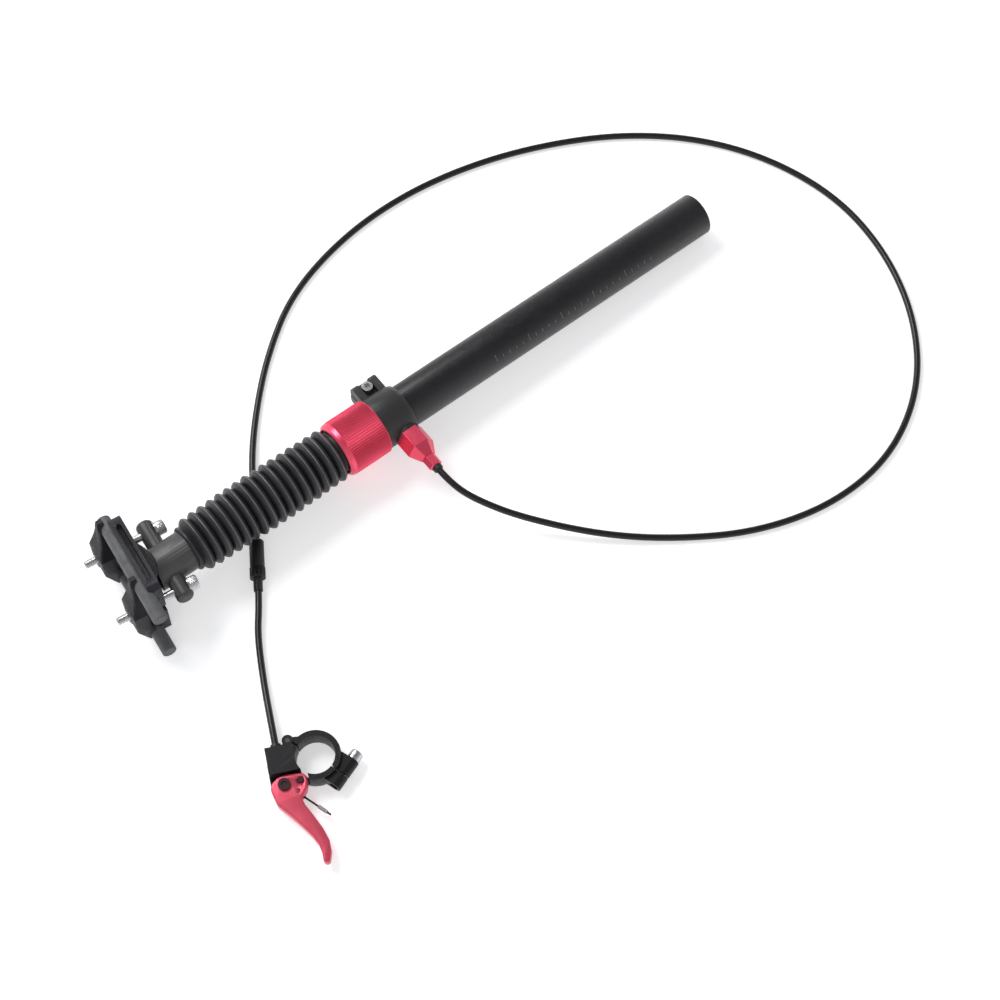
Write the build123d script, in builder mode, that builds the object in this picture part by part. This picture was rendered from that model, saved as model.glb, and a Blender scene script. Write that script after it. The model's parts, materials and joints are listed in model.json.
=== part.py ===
from build123d import *
from math import atan, cos, degrees, pi, radians, sin, tan
import os

# Dropper seatpost with a rubber gaiter, a pin lock on its collar and a thumb remote on a cable.
# It lies on a flat surface: the far end of the tube and one side of the saddle clamp touch it,
# and the remote lies flat beside the post. Lengths are millimetres and angles are degrees.
# Origin: on the post's axis at the lower face of the head collar, where the frame's tube ends.
# +X runs level along the post towards the end that goes into the frame, +Z is up from the
# surface, and the cable leaves the collar towards -Y.

overrun = 1.0
running = 0.05
seating = 0.15
soft_gap = 0.3

# Outer tube
tube_od = 27.2
tube_wall = 1.5
neck_od = 26.4
insertion = 230.0
neck_rise = 21.7
groove_depth = 0.6
tube_radius = tube_od / 2
neck_radius = neck_od / 2
tube_bore = tube_radius - tube_wall

# Head collar on the tube
collar_od = 32.6
collar_height = 20.3
collar_taper = 3.0
slot_width = 1.6
lug_reach = 26.0
lug_thickness = 15.0
lug_height = 17.0
lug_pocket_depth = 4.0
pinch_screw_d = 4.0
pinch_head_d = 7.0
pinch_head_height = 4.0
collar_radius = collar_od / 2
tube_top = collar_height + neck_rise

# Knurled nut over the end of the tube
nut_od = 35.0
nut_height = 28.5
nut_chamfer = 1.9
nut_smooth_band = 3.6
nut_lip = 3.0
ridge_count = 72
ridge_depth = 0.5
nut_radius = nut_od / 2
nut_top = collar_height + nut_height

# Sliding tube
stanchion_od = 22.0
stanchion_wall = 1.8
travel = 50.0
stanchion_bottom = -100.0
stanchion_radius = stanchion_od / 2
stanchion_bore = stanchion_radius - stanchion_wall
key_depth = 0.8
lock_positions = 3
bush_length = 20.0
low_bush_length = 14.0
bush_flange = 1.2
seal_height = 3.4

# Main spring and what holds it
base_plug_length = 7.0
base_recess = 1.4
snap_ring_height = 1.2
plug_length = 12.0
guide_rod_d = 8.0
guide_rod_top = -60.0
spring_wire = 2.6
spring_od = 20.6

# Gaiter
rib_count = 16
rib_end_d = 33.2
rib_bulge = 2.5
root_d = 26.2
gaiter_wall = 1.2
cuff_height = 3.5
rib_shares = (0.0, 0.3, 0.62, 0.92)

# Head of the sliding post
head_od = 24.5
head_bottom = 146.0
head_height = 26.0
head_station = head_bottom + head_height
head_setback = 2.5
head_lean = 7.0
bore_depth = 12.0
bore_end = head_bottom + bore_depth
ear_bar_d = 10.4
ear_drop = 5.0
ear_reach = 27.5
bolt_spacing = 40.6
seat_rise = 0.5
rim_height = 3.0
rocker_half_width = 11.0
head_radius = head_od / 2
gaiter_top = head_bottom + cuff_height

# Saddle clamp
rail_spacing = 44.0
rod_d = 8.5
rod_height = 15.8
rod_back = 30.0
rod_front = 42.0
clamp_half_width = 28.0
cradle_half_length = 26.0
cradle_floor = 7.0
cradle_top = 14.6
web_top = 10.0
rocker_half_length = 15.0
notch_start = 12.5
trough_inner = 15.0
yoke_length = 16.5
yoke_bottom = 17.0
yoke_tip_top = 20.6
yoke_top = 27.3
yoke_crown_half = 8.0
nut_pin_d = 10.0
nut_pin_length = 13.0
nut_pin_height = 23.2
nut_sway = 0.36
seat_radius = nut_pin_height - seat_rise
bolt_d = 5.0
bolt_tip = 35.0
bolt_head_d = 8.5
bolt_head_height = 5.0
washer_thickness = 1.2
washer_d = 10.0
clamp_tilt_limit = 10.0

# Lock on the collar
pin_station = 8.0
pin_d = 6.0
pin_tip_gap = 0.2
pin_end = 24.0
pin_flange_d = 9.6
pin_flange_start = 17.2
pin_flange_thickness = 1.4
boss_d = 15.6
boss_end = 17.0
boss_bore_d = 13.0
guide_bush_length = 3.0
lock_af = 15.6
lock_cylinder_end = 28.5
lock_end = 36.0
lock_bore_d = 10.4
lock_bore_end = 31.0
lock_nose_d = 8.6
stop_af = 7.6
stop_end = 43.5
stop_spigot = 3.5
stop_spigot_d = 4.4
wire_d = 1.2
ferrule_d = 6.0
ferrule_length = 3.0
pin_spring_wire = 0.8

# Cable housing and the adjuster in it
housing_d = 4.0
housing_lift = 0.1
lock_lead = 12.0
sleeve_lead = 24.5
neck_lead = 9.0
remote_lead = 14.0
adjuster_x = -124.2
adjuster_y = -24.3
adjuster_turn = 33.2
adjuster_d = 8.6
adjuster_length = 18.0
adjuster_taper = 1.2
adjuster_socket = 10.0
barrel_d = 9.2
barrel_length = 6.5
barrel_neck_d = 5.4
barrel_neck_length = 8.0
barrel_flute_count = 12
barrel_flute_d = 1.0
screw_d = 3.0

# Thumb remote, in a frame of its own: centre of the bar clamp, cable along its -Y
bar_d = 22.2
remote_x = -165.9
remote_y = -138.9
remote_turn = -25.4
band_width = 12.0
band_thickness = 3.2
knuckle_angle = 139.0
knuckle_radius = 17.6
knuckle_d = 6.4
hinge_pin_d = 2.6
split_angle = -46.0
screw_offset = 17.6
clamp_lug_d = 8.4
band_lug_length = 10.0
jaw_lug_length = 8.0
split_gap = 1.0
bar_screw_d = 4.0
bar_screw_head_d = 7.4
bar_screw_head_height = 5.0
bar_screw_reach = 3.5
bar_screw_play = 0.7
block_height = 13.0
block_x = -18.4
block_width = 16.4
block_back = 9.6
block_front = -6.2
ledge_height = 4.0
pivot_x = -19.6
pivot_y = -12.6
pivot_d = 4.0
pivot_bush_d = 6.0
pivot_head_d = 7.0
pivot_head_height = 1.2
pivot_boss_d = 15.0
lever_bottom = 4.4
lever_thickness = 6.0
lever_gap = 0.5
anchor_x = -10.4
anchor_y = -11.6
anchor_head_d = 3.8
anchor_head_height = 0.8
anchor_d = 2.0
wire_hole_x = -13.0
wire_hole_y = -17.4
wire_hole_d = 2.6
entry_x = -20.4
entry_height = 6.3
tail_length = 22.0
tail_angle = -47.0
crimp_d = 2.2
crimp_length = 6.0
crimp_share = 0.62
return_spring_height = 1.2
return_spring_d = 10.0
return_spring_wire = 1.0

# Lie of the post: the clamp's side and the tube's end touch the surface
lean = radians(head_lean)
cradle_low = head_station - cradle_half_length * sin(lean) + cradle_floor * cos(lean)
tilt = atan((clamp_half_width - tube_radius) / (insertion + cradle_low))
floor_z = -(insertion * sin(tilt) + tube_radius * cos(tilt))
post = Plane(origin=(0, 0, 0), x_dir=(0, -1, 0), z_dir=(-cos(tilt), 0, sin(tilt)))
clamp = Plane(
    origin=post.from_local_coords((-head_setback, 0, head_station)),
    x_dir=post.x_dir * cos(lean) + post.z_dir * sin(lean),
    z_dir=post.z_dir * cos(lean) - post.x_dir * sin(lean),
)
lock = Plane(
    origin=post.from_local_coords((0, 0, pin_station)), x_dir=post.z_dir, z_dir=post.x_dir
)
remote = Plane(
    origin=(remote_x, remote_y, floor_z),
    x_dir=(cos(radians(remote_turn)), sin(radians(remote_turn)), 0),
    z_dir=(0, 0, 1),
)


def turned(plane, profile, mode=Mode.ADD):
    """Turns a closed profile of (radius, height) points about the plane's normal."""
    half_plane = Plane(origin=plane.origin, x_dir=plane.x_dir, z_dir=-plane.y_dir)
    with BuildSketch(half_plane) as half:
        with BuildLine():
            Polyline(*profile, close=True)
        make_face()
    revolve(half.sketch, axis=Axis(plane.origin, plane.z_dir), mode=mode)


def rod_along(plane, radius, length, mode=Mode.ADD):
    """Adds or cuts a round rod from the plane along its normal."""
    with BuildSketch(plane) as round_end:
        Circle(radius)
    extrude(round_end.sketch, amount=length, mode=mode)


def sleeve_along(plane, outer, inner, length):
    """Adds a plain sleeve from the plane along its normal."""
    with BuildSketch(plane) as ring:
        Circle(outer)
        Circle(inner, mode=Mode.SUBTRACT)
    extrude(ring.sketch, amount=length)


def local(plane, x, y, z, x_dir=None, z_dir=None):
    """A plane at a point given in another plane's coordinates, turned if asked."""
    return Plane(
        origin=plane.from_local_coords((x, y, z)),
        x_dir=x_dir or plane.x_dir,
        z_dir=z_dir or plane.z_dir,
    )


def save(piece, name):
    """Labels a finished piece and writes it under its name."""
    piece.part.label = name
    export_step(piece.part, f"parts/{name}.step")


# Outer tube: a neck above its shoulder for the collar and the nut, the lock pin's hole,
# and a groove for the snap ring
with BuildPart() as outer_tube:
    sleeve_along(post.offset(-insertion), tube_radius, tube_bore, insertion)
    sleeve_along(post, neck_radius, tube_bore, tube_top)
    rod_along(lock, pin_d / 2 + running, tube_radius + overrun, Mode.SUBTRACT)
    turned(
        post.offset(-insertion + base_recess - snap_ring_height),
        [
            (tube_bore - overrun, 0),
            (tube_bore + groove_depth, 0),
            (tube_bore + groove_depth, snap_ring_height),
            (tube_bore - overrun, snap_ring_height),
        ],
        Mode.SUBTRACT,
    )
    lower_rim = outer_tube.faces().sort_by(Axis(post.origin, post.z_dir))[0].outer_wire()
    chamfer(lower_rim.edges(), groove_depth)
save(outer_tube, "outer_tube")

# Head collar: a clamped ring with a split lug behind and the lock's boss in front
lug_z = (collar_height - lug_height) / 2
screw_plane = local(
    post, -(collar_radius + lug_reach) / 2 + seating, lug_thickness / 2 - lug_pocket_depth,
    collar_height / 2, z_dir=-post.y_dir,
)
with BuildPart() as head_collar:
    turned(
        post,
        [
            (0, 0),
            (tube_radius + collar_taper / 2, 0),
            (collar_radius, collar_taper),
            (collar_radius, collar_height),
            (0, collar_height),
        ],
    )
    with BuildSketch(post.offset(lug_z)):
        with Locations((-lug_reach / 2, 0)):
            Rectangle(lug_reach, lug_thickness)
    extrude(amount=lug_height)
    lug_corners = head_collar.edges().filter_by(Axis(post.origin, post.z_dir)).sort_by(Axis.Y)[-2:]
    fillet(lug_corners, collar_taper)
    rod_along(local(post, 0, 0, pin_station, post.z_dir, post.x_dir), boss_d / 2, boss_end)
    rod_along(post.offset(-overrun), neck_radius, collar_height + 2 * overrun, Mode.SUBTRACT)
    rod_along(lock, boss_bore_d / 2, boss_end + overrun, Mode.SUBTRACT)
    with BuildSketch(post.offset(-overrun)):
        with Locations((-lug_reach, 0)):
            Rectangle(2 * (lug_reach - tube_radius + overrun), slot_width)
    extrude(amount=collar_height + 2 * overrun, mode=Mode.SUBTRACT)
    pocket = local(post, 0, lug_thickness / 2 - lug_pocket_depth, collar_height / 2, z_dir=post.y_dir)
    with BuildSketch(local(pocket, 0, 0, 0, post.x_dir)):
        with Locations((-lug_reach - pinch_head_d + collar_radius / 2, 0)):
            Rectangle(lug_reach, pinch_head_d + 2 * soft_gap)
    extrude(amount=lug_pocket_depth + overrun, mode=Mode.SUBTRACT)
    rod_along(screw_plane.offset(-overrun), pinch_screw_d / 2, lug_thickness + 2 * overrun, Mode.SUBTRACT)
save(head_collar, "head_collar")

with BuildPart() as collar_pinch_screw:
    rod_along(screw_plane, pinch_screw_d / 2 - running, lug_thickness - lug_pocket_depth)
    rod_along(local(screw_plane, 0, 0, 0, z_dir=-screw_plane.z_dir), pinch_head_d / 2, pinch_head_height)
    with BuildSketch(screw_plane.offset(-pinch_head_height)):
        RegularPolygon(pinch_screw_d * 3 / 8, 6, major_radius=False)
    extrude(amount=pinch_head_height / 2, mode=Mode.SUBTRACT)
save(collar_pinch_screw, "collar_pinch_screw")

# Knurled nut: straight ridges between two smooth bands
cuff_floor = nut_top - nut_lip
cuff_radius = rib_end_d / 2 - nut_chamfer
with BuildPart() as collar_nut:
    turned(
        post,
        [
            (neck_radius + running, collar_height),
            (nut_radius - ridge_depth, collar_height),
            (nut_radius - ridge_depth, nut_top - nut_smooth_band),
            (nut_radius, nut_top - nut_smooth_band),
            (nut_radius - nut_chamfer / 3, nut_top - nut_smooth_band / 3),
            (nut_radius - nut_chamfer, nut_top),
            (cuff_radius + seating, nut_top),
            (cuff_radius + seating, cuff_floor),
            (neck_radius + running, cuff_floor),
        ],
    )
    with BuildSketch(post.offset(collar_height + ridge_depth)):
        with BuildLine():
            Polyline(
                *[
                    (
                        (nut_radius - (k % 2) * ridge_depth) * cos(pi * k / ridge_count),
                        (nut_radius - (k % 2) * ridge_depth) * sin(pi * k / ridge_count),
                    )
                    for k in range(2 * ridge_count)
                ],
                close=True,
            )
        make_face()
        Circle(nut_radius - 2 * ridge_depth, mode=Mode.SUBTRACT)
    extrude(amount=nut_height - ridge_depth - nut_smooth_band)
save(collar_nut, "collar_nut")

# Bushes, seal and sliding tube
with BuildPart() as upper_bush:
    turned(
        post,
        [
            (stanchion_radius + running, tube_top - bush_length),
            (tube_bore, tube_top - bush_length),
            (tube_bore, tube_top),
            (neck_radius, tube_top),
            (neck_radius, tube_top + bush_flange),
            (stanchion_radius + running, tube_top + bush_flange),
        ],
    )
save(upper_bush, "upper_bush")

seal_floor = tube_top + bush_flange
with BuildPart() as wiper_seal:
    turned(
        post,
        [
            (stanchion_radius + running, seal_floor),
            (neck_radius, seal_floor),
            (neck_radius, cuff_floor - seating),
            (stanchion_radius + gaiter_wall, cuff_floor - seating),
            (stanchion_radius + running, cuff_floor - seal_height / 2),
        ],
    )
save(wiper_seal, "wiper_seal")

lock_stations = [pin_station + travel * k / (lock_positions - 1) for k in range(lock_positions)]
with BuildPart() as stanchion:
    sleeve_along(
        post.offset(stanchion_bottom), stanchion_radius, stanchion_bore, bore_end - stanchion_bottom
    )
    key_middle = pin_station + travel / 2
    key_plane = local(post, stanchion_radius - key_depth, 0, key_middle, post.z_dir, post.x_dir)
    with BuildSketch(key_plane):
        SlotCenterToCenter(travel, pin_d + 6 * running)
    extrude(amount=key_depth + overrun, mode=Mode.SUBTRACT)
    for station in lock_stations:
        hole_plane = local(post, 0, 0, station, post.z_dir, post.x_dir)
        rod_along(hole_plane, pin_d / 2 + 2 * running, stanchion_radius, Mode.SUBTRACT)
save(stanchion, "stanchion")

with BuildPart() as lower_bush:
    sleeve_along(post.offset(stanchion_bottom), tube_bore - running, stanchion_radius, low_bush_length)
save(lower_bush, "lower_bush")

with BuildPart() as stanchion_plug:
    turned(
        post,
        [
            (guide_rod_d / 2 + running, stanchion_bottom - bush_flange),
            (tube_bore - soft_gap, stanchion_bottom - bush_flange),
            (tube_bore - soft_gap, stanchion_bottom),
            (stanchion_bore, stanchion_bottom),
            (stanchion_bore, stanchion_bottom + plug_length),
            (guide_rod_d / 2 + running, stanchion_bottom + plug_length),
        ],
    )
save(stanchion_plug, "stanchion_plug")

plug_floor = -insertion + base_recess
with BuildPart() as base_plug:
    turned(
        post,
        [
            (guide_rod_d / 2, plug_floor),
            (tube_bore, plug_floor),
            (tube_bore, plug_floor + base_plug_length),
            (guide_rod_d / 2, plug_floor + base_plug_length),
        ],
    )
save(base_plug, "base_plug")

with BuildPart() as snap_ring:
    with BuildSketch(post.offset(plug_floor - snap_ring_height)):
        Circle(tube_bore + groove_depth)
        Circle(tube_bore - 2 * groove_depth, mode=Mode.SUBTRACT)
        with Locations((-tube_bore, 0)):
            Rectangle(3 * snap_ring_height, 3 * snap_ring_height, mode=Mode.SUBTRACT)
    extrude(amount=snap_ring_height)
save(snap_ring, "snap_ring")

with BuildPart() as guide_rod:
    rod_along(post.offset(plug_floor), guide_rod_d / 2, guide_rod_top - plug_floor)
    chamfer(guide_rod.edges().sort_by(Axis(post.origin, post.z_dir))[-1], groove_depth)
save(guide_rod, "guide_rod")

spring_floor = plug_floor + base_plug_length
spring_top = stanchion_bottom - bush_flange
with BuildPart() as main_spring:
    spring_length = spring_top - spring_floor
    sleeve_along(post.offset(spring_floor), spring_od / 2, spring_od / 2 - spring_wire, spring_length)
save(main_spring, "main_spring")

# Gaiter: each rib is four circles, and the ribs swell a little towards the middle
rib_length = (gaiter_top - nut_top) / rib_count
root_radius = root_d / 2
gaiter_sections = [(cuff_floor, cuff_radius), (nut_top, cuff_radius)]
for rib in range(rib_count):
    crest = rib_end_d / 2 + rib_bulge / 2 * sin(pi * (rib + 0.5) / rib_count)
    foot = nut_top + rib * rib_length
    for share, radius in zip(rib_shares, (root_radius, crest, crest, root_radius)):
        gaiter_sections.append((foot + (share + 1 - rib_shares[-1]) * rib_length, radius))
gaiter_sections.append((gaiter_top + cuff_height, root_radius))
with BuildPart() as gaiter:
    for station, radius in gaiter_sections:
        with BuildSketch(post.offset(station)):
            Circle(radius)
    loft(ruled=True)
    for station, radius in gaiter_sections:
        bore = head_radius + seating if station >= head_bottom - rib_length else radius - gaiter_wall
        with BuildSketch(post.offset(station)):
            Circle(min(bore, radius - gaiter_wall / 2))
    loft(ruled=True, mode=Mode.SUBTRACT)
save(gaiter, "gaiter")

# Head of the sliding post: a leaning bar with two ears for the bolts, and a hollow seat between
ear_plane = local(clamp, -ear_reach, 0, -ear_drop, clamp.y_dir, clamp.x_dir)
ear_floor = -ear_drop - ear_bar_d / 2 + bush_flange
seat_axis_plane = local(clamp, 0, -head_od, nut_pin_height, clamp.x_dir, clamp.y_dir)
bolt_places = (-bolt_spacing / 2, bolt_spacing / 2)
with BuildPart() as post_head:
    rod_along(ear_plane, ear_bar_d / 2, 2 * ear_reach)
    fillet(post_head.edges().filter_by(GeomType.CIRCLE), ear_bar_d / 4)
    rod_along(post.offset(head_bottom), head_radius, head_station - head_bottom + ear_bar_d)
    rod_along(seat_axis_plane, seat_radius, 2 * head_od, Mode.SUBTRACT)
    with BuildSketch(clamp.offset(rim_height)):
        Rectangle(2 * head_od, 2 * head_od)
    extrude(amount=head_od, mode=Mode.SUBTRACT)
    bore_plane = post.offset(head_bottom - overrun)
    rod_along(bore_plane, stanchion_radius, bore_end - head_bottom + overrun, Mode.SUBTRACT)
    for place in bolt_places:
        counterbore = local(clamp, place, 0, ear_floor - ear_bar_d)
        rod_along(counterbore, washer_d / 2 + soft_gap, ear_bar_d, Mode.SUBTRACT)
        rod_along(counterbore, bolt_d / 2 + soft_gap, 3 * ear_bar_d, Mode.SUBTRACT)
save(post_head, "post_head")

# Lower cradle: a rocker on the seat, a web with bolt notches, and two rail troughs
groove_radius = rod_d / 2 + 2 * running
with BuildPart() as lower_cradle:
    with BuildSketch(local(clamp, 0, rocker_half_width, 0, z_dir=-clamp.y_dir)):
        with Locations((0, web_top / 2)):
            Rectangle(2 * rocker_half_length, web_top)
        with Locations((0, nut_pin_height)):
            Circle(seat_radius - soft_gap, mode=Mode.INTERSECT)
    extrude(amount=2 * rocker_half_width)
    with BuildSketch(clamp.offset(cradle_floor)):
        Rectangle(2 * cradle_half_length, 2 * clamp_half_width)
    extrude(amount=web_top - cradle_floor)
    for side in (-1, 1):
        with BuildSketch(clamp.offset(cradle_floor)):
            with Locations((0, side * (trough_inner + clamp_half_width) / 2)):
                Rectangle(2 * cradle_half_length, clamp_half_width - trough_inner)
        extrude(amount=cradle_top - cradle_floor)
    fillet(lower_cradle.edges().filter_by(Axis(clamp.origin, clamp.z_dir)), nut_chamfer)
    for side in (-1, 1):
        rail_side = side * rail_spacing / 2
        groove = local(clamp, -rod_front, rail_side, rod_height, clamp.y_dir, clamp.x_dir)
        rod_along(groove, groove_radius, 2 * rod_front, Mode.SUBTRACT)
        with BuildSketch(clamp.offset(-overrun)):
            with Locations((side * (notch_start + cradle_half_length), 0)):
                SlotOverall(2 * cradle_half_length, bolt_d + 4 * soft_gap)
        extrude(amount=cradle_top, mode=Mode.SUBTRACT)
save(lower_cradle, "lower_cradle")

# Upper yokes: one wing over both rails at each bolt, with a round nut lying in its crown
bolt_swing = (nut_pin_height - yoke_bottom) * tan(radians(clamp_tilt_limit))
yoke_slot_half = bolt_d / 2 + soft_gap + nut_sway + bolt_swing
for name, place in zip(("rear", "front"), bolt_places):
    with BuildPart() as yoke:
        with BuildSketch(local(clamp, place - yoke_length / 2, 0, 0, clamp.y_dir, clamp.x_dir)):
            with BuildLine():
                Polyline(
                    (clamp_half_width, yoke_bottom),
                    (clamp_half_width, yoke_tip_top),
                    (yoke_crown_half, yoke_top),
                    (-yoke_crown_half, yoke_top),
                    (-clamp_half_width, yoke_tip_top),
                    (-clamp_half_width, yoke_bottom),
                    (-trough_inner, yoke_bottom),
                    (-yoke_crown_half, (yoke_bottom + yoke_tip_top) / 2),
                    (yoke_crown_half, (yoke_bottom + yoke_tip_top) / 2),
                    (trough_inner, yoke_bottom),
                    close=True,
                )
            make_face()
        extrude(amount=yoke_length)
        crown = yoke.faces().sort_by(Axis(clamp.origin, clamp.z_dir))[-1]
        fillet(crown.edges().filter_by(Axis(clamp.origin, clamp.x_dir)), nut_chamfer)
        for side in (-1, 1):
            rail_side = side * rail_spacing / 2
            groove = local(clamp, place - yoke_length, rail_side, rod_height, clamp.y_dir, clamp.x_dir)
            rod_along(groove, groove_radius, 2 * yoke_length, Mode.SUBTRACT)
        pocket_side = nut_pin_length / 2 + running
        with BuildSketch(local(clamp, place, pocket_side, nut_pin_height, z_dir=-clamp.y_dir)):
            Circle(nut_pin_d / 2 + running)
            with Locations((0, nut_pin_d / 2)):
                Rectangle(nut_pin_d + 2 * running, nut_pin_d)
        extrude(amount=nut_pin_length + 2 * running, mode=Mode.SUBTRACT)
        with BuildSketch(local(clamp, place, 0, yoke_bottom - overrun)):
            SlotOverall(2 * yoke_slot_half, bolt_d + 2 * soft_gap)
        extrude(amount=yoke_top, mode=Mode.SUBTRACT)
    save(yoke, f"upper_yoke_{name}")
    with BuildPart() as nut_pin:
        nut_end = local(clamp, place, -nut_pin_length / 2, nut_pin_height, clamp.x_dir, clamp.y_dir)
        rod_along(nut_end, nut_pin_d / 2, nut_pin_length)
        rod_along(local(clamp, place, 0, yoke_bottom), bolt_d / 2 + nut_sway, yoke_top, Mode.SUBTRACT)
    save(nut_pin, f"nut_pin_{name}")
    head_top = ear_floor - washer_thickness
    with BuildPart() as clamp_bolt:
        rod_along(local(clamp, place, 0, head_top), bolt_d / 2, bolt_tip - head_top)
        chamfer(clamp_bolt.edges().sort_by(Axis(clamp.origin, clamp.z_dir))[-1], groove_depth)
        rod_along(local(clamp, place, 0, head_top - bolt_head_height), bolt_head_d / 2, bolt_head_height)
        with BuildSketch(local(clamp, place, 0, head_top - bolt_head_height)):
            RegularPolygon(bolt_d * 2 / 5, 6, major_radius=False)
        extrude(amount=bolt_head_height / 2, mode=Mode.SUBTRACT)
    save(clamp_bolt, f"clamp_bolt_{name}")
    with BuildPart() as bolt_washer:
        sleeve_along(local(clamp, place, 0, head_top), washer_d / 2, bolt_d / 2 + running, washer_thickness)
    save(bolt_washer, f"bolt_washer_{name}")

# Transport rods in the rail troughs
for name, side in (("near", 1), ("far", -1)):
    with BuildPart() as rail_rod:
        rod_end = local(clamp, -rod_back, side * rail_spacing / 2, rod_height, clamp.y_dir, clamp.x_dir)
        rod_along(rod_end, rod_d / 2, rod_back + rod_front)
        chamfer(rail_rod.edges().filter_by(GeomType.CIRCLE), groove_depth)
    save(rail_rod, f"transport_rod_{name}")

# Lock: a pin through the tube, pushed in by a spring and pulled out by the cable
pin_tip = stanchion_radius - key_depth + pin_tip_gap
with BuildPart() as lock_pin:
    turned(
        lock,
        [
            (0, pin_tip),
            (pin_d / 2, pin_tip),
            (pin_d / 2, pin_flange_start),
            (pin_flange_d / 2, pin_flange_start),
            (pin_flange_d / 2, pin_flange_start + pin_flange_thickness),
            (pin_d / 2, pin_flange_start + pin_flange_thickness),
            (pin_d / 2, pin_end),
            (0, pin_end),
        ],
    )
save(lock_pin, "lock_pin")

bush_start = neck_radius + running
bush_end = bush_start + guide_bush_length
with BuildPart() as pin_guide_bush:
    sleeve_along(lock.offset(bush_start), boss_bore_d / 2, pin_d / 2 + running, guide_bush_length)
save(pin_guide_bush, "pin_guide_bush")

pin_spring_start = pin_flange_start + pin_flange_thickness
pin_spring_bore = pin_d / 2 + soft_gap
with BuildPart() as pin_spring:
    sleeve_along(
        lock.offset(pin_spring_start),
        pin_spring_bore + 2 * pin_spring_wire,
        pin_spring_bore,
        lock_bore_end - pin_spring_start,
    )
save(pin_spring, "pin_spring")

stop_seat = lock_end - stop_spigot
with BuildPart() as lock_housing:
    with BuildSketch(lock.offset(boss_end)):
        RegularPolygon(lock_af / 2, 6, major_radius=False)
    extrude(amount=lock_cylinder_end - boss_end)
    with BuildSketch(lock.offset(lock_cylinder_end)):
        RegularPolygon(lock_af / 2, 6, major_radius=False)
    with BuildSketch(lock.offset(lock_end)):
        RegularPolygon(lock_nose_d / 2, 6, major_radius=False)
    loft(ruled=True)
    rod_along(lock.offset(bush_end), boss_bore_d / 2 - running, boss_end - bush_end)
    spring_bore_length = lock_bore_end - bush_end + overrun
    rod_along(lock.offset(bush_end - overrun), lock_bore_d / 2, spring_bore_length, Mode.SUBTRACT)
    rod_along(lock.offset(stop_seat), stop_spigot_d / 2, stop_spigot + overrun, Mode.SUBTRACT)
    rod_along(lock.offset(lock_bore_end - overrun), wire_d, stop_spigot + overrun, Mode.SUBTRACT)
save(lock_housing, "lock_housing")

with BuildPart() as cable_stop:
    with BuildSketch(lock.offset(lock_end)):
        RegularPolygon(stop_af / 2, 6, major_radius=False)
    extrude(amount=stop_end - lock_end)
    chamfer(cable_stop.faces().sort_by(Axis(lock.origin, lock.z_dir))[-1].edges(), groove_depth)
    rod_along(lock.offset(stop_seat), stop_spigot_d / 2, stop_spigot)
    rod_along(lock.offset(stop_seat - overrun), wire_d, stop_end, Mode.SUBTRACT)
save(cable_stop, "cable_stop")

with BuildPart() as lock_wire:
    rod_along(lock.offset(pin_end), wire_d / 2, stop_end - pin_end - stop_spigot)
save(lock_wire, "lock_wire")

with BuildPart() as lock_ferrule:
    rod_along(lock.offset(stop_end), ferrule_d / 2, ferrule_length)
    chamfer(lock_ferrule.edges().sort_by(Axis(lock.origin, lock.z_dir))[-1], groove_depth)
    rod_along(lock.offset(stop_end - overrun), wire_d, 2 * overrun, Mode.SUBTRACT)
save(lock_ferrule, "lock_ferrule")

# Routes of the cable housing: points over the surface, with the height of the housing's centre
low = housing_d / 2 + housing_lift
adjuster_height = barrel_d / 2 + housing_lift
lock_exit = lock.from_local_coords((0, 0, stop_end + ferrule_length))
adjuster = Plane(
    origin=(adjuster_x, adjuster_y, floor_z + adjuster_height),
    x_dir=(0, 0, 1),
    z_dir=(-sin(radians(adjuster_turn)), -cos(radians(adjuster_turn)), 0),
)
sleeve_end = adjuster.from_local_coords((0, 0, -adjuster_length))
neck_end = adjuster.from_local_coords((0, 0, barrel_length + barrel_neck_length))
ferrule_face = block_back + ferrule_length
remote_entry = remote.from_local_coords((entry_x, ferrule_face, entry_height))
upper_route = [
    (-1.8, -74.1, 18.6),
    (14.0, -95.9, 10.9),
    (44.0, -130.0, 5.0),
    (76.4, -157.7, low),
    (118.0, -185.0, low),
    (166.0, -199.5, low),
    (214.0, -197.0, low),
    (258.0, -174.5, low),
    (290.0, -137.5, low),
    (309.0, -92.0, low),
    (314.0, -43.0, low),
    (301.0, 6.0, low),
    (275.0, 48.0, low),
    (238.0, 81.5, low),
    (194.0, 106.0, low),
    (147.0, 123.0, low),
    (97.0, 131.5, low),
    (48.0, 129.0, low),
    (0.0, 115.0, low),
    (-36.0, 89.5, low),
    (-63.5, 62.9, low),
    (-86.1, 36.0, 2.8),
]
lower_route = [
    (-148.6, -58.6, 3.4),
    (-162.4, -84.1, 3.2),
]
corner_share = 0.45


def housing(start, start_lead, route, end_lead, end):
    """A tube of straight runs and tangent arcs, each arc as large as its two runs allow."""
    middle = [Vector(x, y, floor_z + height) for x, y, height in route]
    points = [start, start_lead, *middle, end_lead, end]
    radii = []
    for before, corner, after in zip(points, points[1:], points[2:]):
        run_in = corner - before
        run_out = after - corner
        half_turn = radians(run_in.get_angle(run_out)) / 2
        radii.append(corner_share * min(run_in.length, run_out.length) / tan(half_turn))
    with BuildPart() as tube:
        with BuildLine() as path:
            FilletPolyline(*points, radius=radii)
        line = path.wire()
        with BuildSketch(Plane(origin=line @ 0, z_dir=line % 0)):
            Circle(housing_d / 2)
        sweep(path=line)
    straight_volume = pi * (housing_d / 2) ** 2 * line.length
    print("housing", round(line.length, 1), "long, radii", [round(r) for r in radii])
    print("volume over section times length", round(tube.part.volume / straight_volume, 5))
    return tube


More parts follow.
